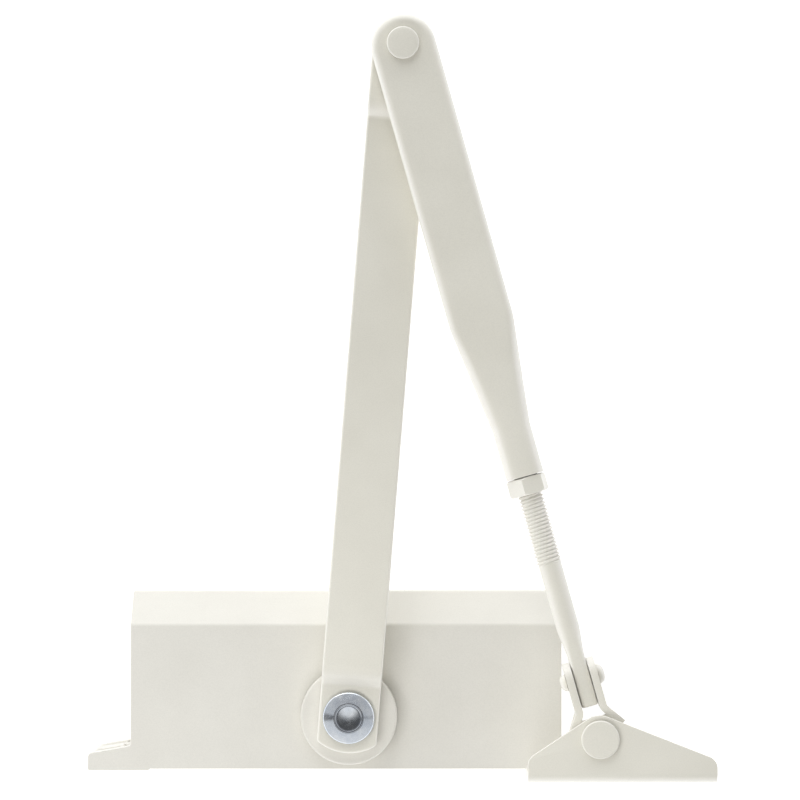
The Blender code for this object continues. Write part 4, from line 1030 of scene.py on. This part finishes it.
def make_shoe_rivet():
    top = SHOE_FLANGE_TOP + GAP
    under = CLEVIS_TOP - CLEVIS_DISC_THICKNESS - GAP
    rim = SHOE_HEAD_RADIUS
    profile = [(0, top + 1.8 * MM), (rim - 0.7 * MM, top + 1.75 * MM)]
    profile += arc((rim - 0.6 * MM, top + 1.15 * MM), 0.6 * MM, 80, 0, 7)
    profile += [(rim, top + 0.15 * MM), (rim - 0.15 * MM, top), (SHOE_PIN_RADIUS, top),
                (SHOE_PIN_RADIUS, under), (4.7 * MM, under)]
    profile += arc((4.0 * MM, under - 0.8 * MM), 0.8 * MM, 0, -75, 5)
    profile += [(1.6 * MM, under - 1.8 * MM), (1.1 * MM, under - 1.3 * MM), (0, under - 1.3 * MM)]
    rivet = add_object("shoe_pivot_pin", turned("shoe_pivot_pin", profile))
    piece(rivet, SHOE_PLACE, STEEL_PAINT, "painted_steel", "shoe", "shoe_rivet")


make_housing()
make_end_plug("valve_end_screw_plug", "valve_end_plug", 1)
make_end_plug("spring_end_screw_plug", "spring_end_plug", -1)
make_collar("upper_collar_ring", "upper_collar", UPPER_COLLAR_TOP, Matrix.Identity(4))
make_collar("lower_collar_ring", "lower_collar", -LOWER_COLLAR_BOTTOM, Matrix.Rotation(math.pi, 4, "X"))
make_cap()
make_valve("closing_valve_screw", "closing_valve", 1)
make_valve("latching_valve_screw", "latching_valve", -1)
make_spring()
make_main_arm()
make_arm_screw()
make_forearm()
make_elbow()
make_rod()
make_nut()
make_clevis()
make_clevis_rivet()
make_shoe()
make_shoe_rivet()

CARRIED_OVER = {
    "piston": STEEL, "pinion_shaft": STEEL, "check_valve_ball": STEEL, "check_valve_seat": BRASS,
    "upper_bearing": BRONZE, "lower_bearing": BRONZE, "valve_plug_seal": RUBBER, "spring_plug_seal": RUBBER,
    "upper_shaft_seal": RUBBER, "lower_shaft_seal": RUBBER, "closing_valve_seal": RUBBER,
    "latching_valve_seal": RUBBER,
}
for node_name, finish in CARRIED_OVER.items():
    node_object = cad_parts[node_name]
    for material_slot in node_object.material_slots:
        material_slot.material = finish


# ---------------------------------------------------------------- floor, light and camera

FLOOR_Z = -28.2 * MM


def make_floor():
    half = 4.0
    bm = bmesh.new()
    corners = ((-half, -half), (half, -half), (half, half), (-half, half))
    bm.faces.new([bm.verts.new((x, y, FLOOR_Z)) for x, y in corners])
    floor = add_object("floor", bmesh_to_mesh(bm, "floor"))
    if floor.data.polygons[0].normal.z < 0:
        floor.data.flip_normals()
    pale = bpy.data.materials.new("studio_floor")
    pale.use_nodes = True
    shader = pale.node_tree.nodes["Principled BSDF"]
    shader.inputs["Base Color"].default_value = (0.9, 0.9, 0.9, 1)
    shader.inputs["Roughness"].default_value = 0.9
    shader.inputs["Specular IOR Level"].default_value = 0.1
    shader.inputs["Emission Color"].default_value = (1, 1, 1, 1)
    shader.inputs["Emission Strength"].default_value = 0.5
    floor.data.materials.append(pale)


def add_area(name, location, target, size, power, colour=(1, 1, 1), shows_in_gloss=True):
    light = bpy.data.lights.new(name, "AREA")
    light.shape = "RECTANGLE"
    light.size, light.size_y = size
    light.energy = power
    light.color = colour
    obj = bpy.data.objects.new(name, light)
    bpy.context.scene.collection.objects.link(obj)
    obj.location = location
    obj.rotation_euler = (Vector(target) - Vector(location)).to_track_quat("-Z", "Y").to_euler()
    obj.visible_camera = False
    obj.visible_glossy = shows_in_gloss


def make_world():
    """A soft tent: bright at the sides, darker overhead, with one brighter and three darker patches."""
    world = bpy.data.worlds.new("studio_tent")
    bpy.context.scene.world = world
    world.use_nodes = True
    tree = world.node_tree
    background = tree.nodes["Background"]
    coordinates = tree.nodes.new("ShaderNodeTexCoord")
    split = tree.nodes.new("ShaderNodeSeparateXYZ")
    link(tree, coordinates.outputs["Generated"], split.inputs["Vector"])
    colour = ramp(tree, split.outputs["Z"], [(0.0, (0.97, 0.97, 0.97)), (0.45, (0.573, 0.58, 0.587)),
                                             (0.65, (0.147, 0.147, 0.153)), (1.0, (0.04, 0.04, 0.04))])
    for direction, inner, outer, shade in (((0.0, 0.36, 0.93), 0.985, 0.93, 0.60),
                                           ((0.02, -0.26, 0.96), 0.988, 0.965, 0.06),
                                           ((0.88, 0.02, 0.48), 0.996, 0.984, 0.08),
                                           ((-0.88, 0.03, 0.48), 0.999, 0.995, 0.20)):
        dot = tree.nodes.new("ShaderNodeVectorMath")
        dot.operation = "DOT_PRODUCT"
        dot.inputs[1].default_value = Vector(direction).normalized()
        link(tree, coordinates.outputs["Generated"], dot.inputs[0])
        share = spread(tree, dot.outputs["Value"], 0, 1, outer, inner)
        mix = tree.nodes.new("ShaderNodeMix")
        mix.data_type = "RGBA"
        mix.inputs["B"].default_value = (shade, shade, shade, 1)
        link(tree, share, mix.inputs["Factor"])
        link(tree, colour, mix.inputs["A"])
        colour = mix.outputs["Result"]
    link(tree, colour, background.inputs["Color"])
    background.inputs["Strength"].default_value = 1.5


def make_camera():
    """Straight down along the spindle from 1.39 m above the body, with the door's side at the foot."""
    camera_data = bpy.data.cameras.new("camera")
    camera_data.sensor_width = 36
    camera_data.lens = 185.3
    camera_data.shift_y = 0.05
    camera_data.clip_start = 0.05
    camera_data.clip_end = 20
    camera = bpy.data.objects.new("camera", camera_data)
    bpy.context.scene.collection.objects.link(camera)
    camera.location = (-18.19 * MM, -111.5 * MM, 1411 * MM)
    camera.rotation_euler = (0, 0, math.pi)
    bpy.context.scene.camera = camera


make_floor()
make_world()
add_area("key", (0.28, -0.95, 0.95), (0, -0.1, 0.03), (0.8, 0.6), 4.2, (0.97, 0.985, 1.0), False)
add_area("front", (0.10, -1.15, 0.35), (0, -0.06, 0.02), (1.2, 0.4), 3.0, (0.97, 0.985, 1.0))
add_area("near_fill", (0.08, 0.10, 0.32), (0, -0.02, 0.02), (0.30, 0.12), 0.5, shows_in_gloss=False)
make_camera()
bpy.context.scene.view_settings.view_transform = "Standard"
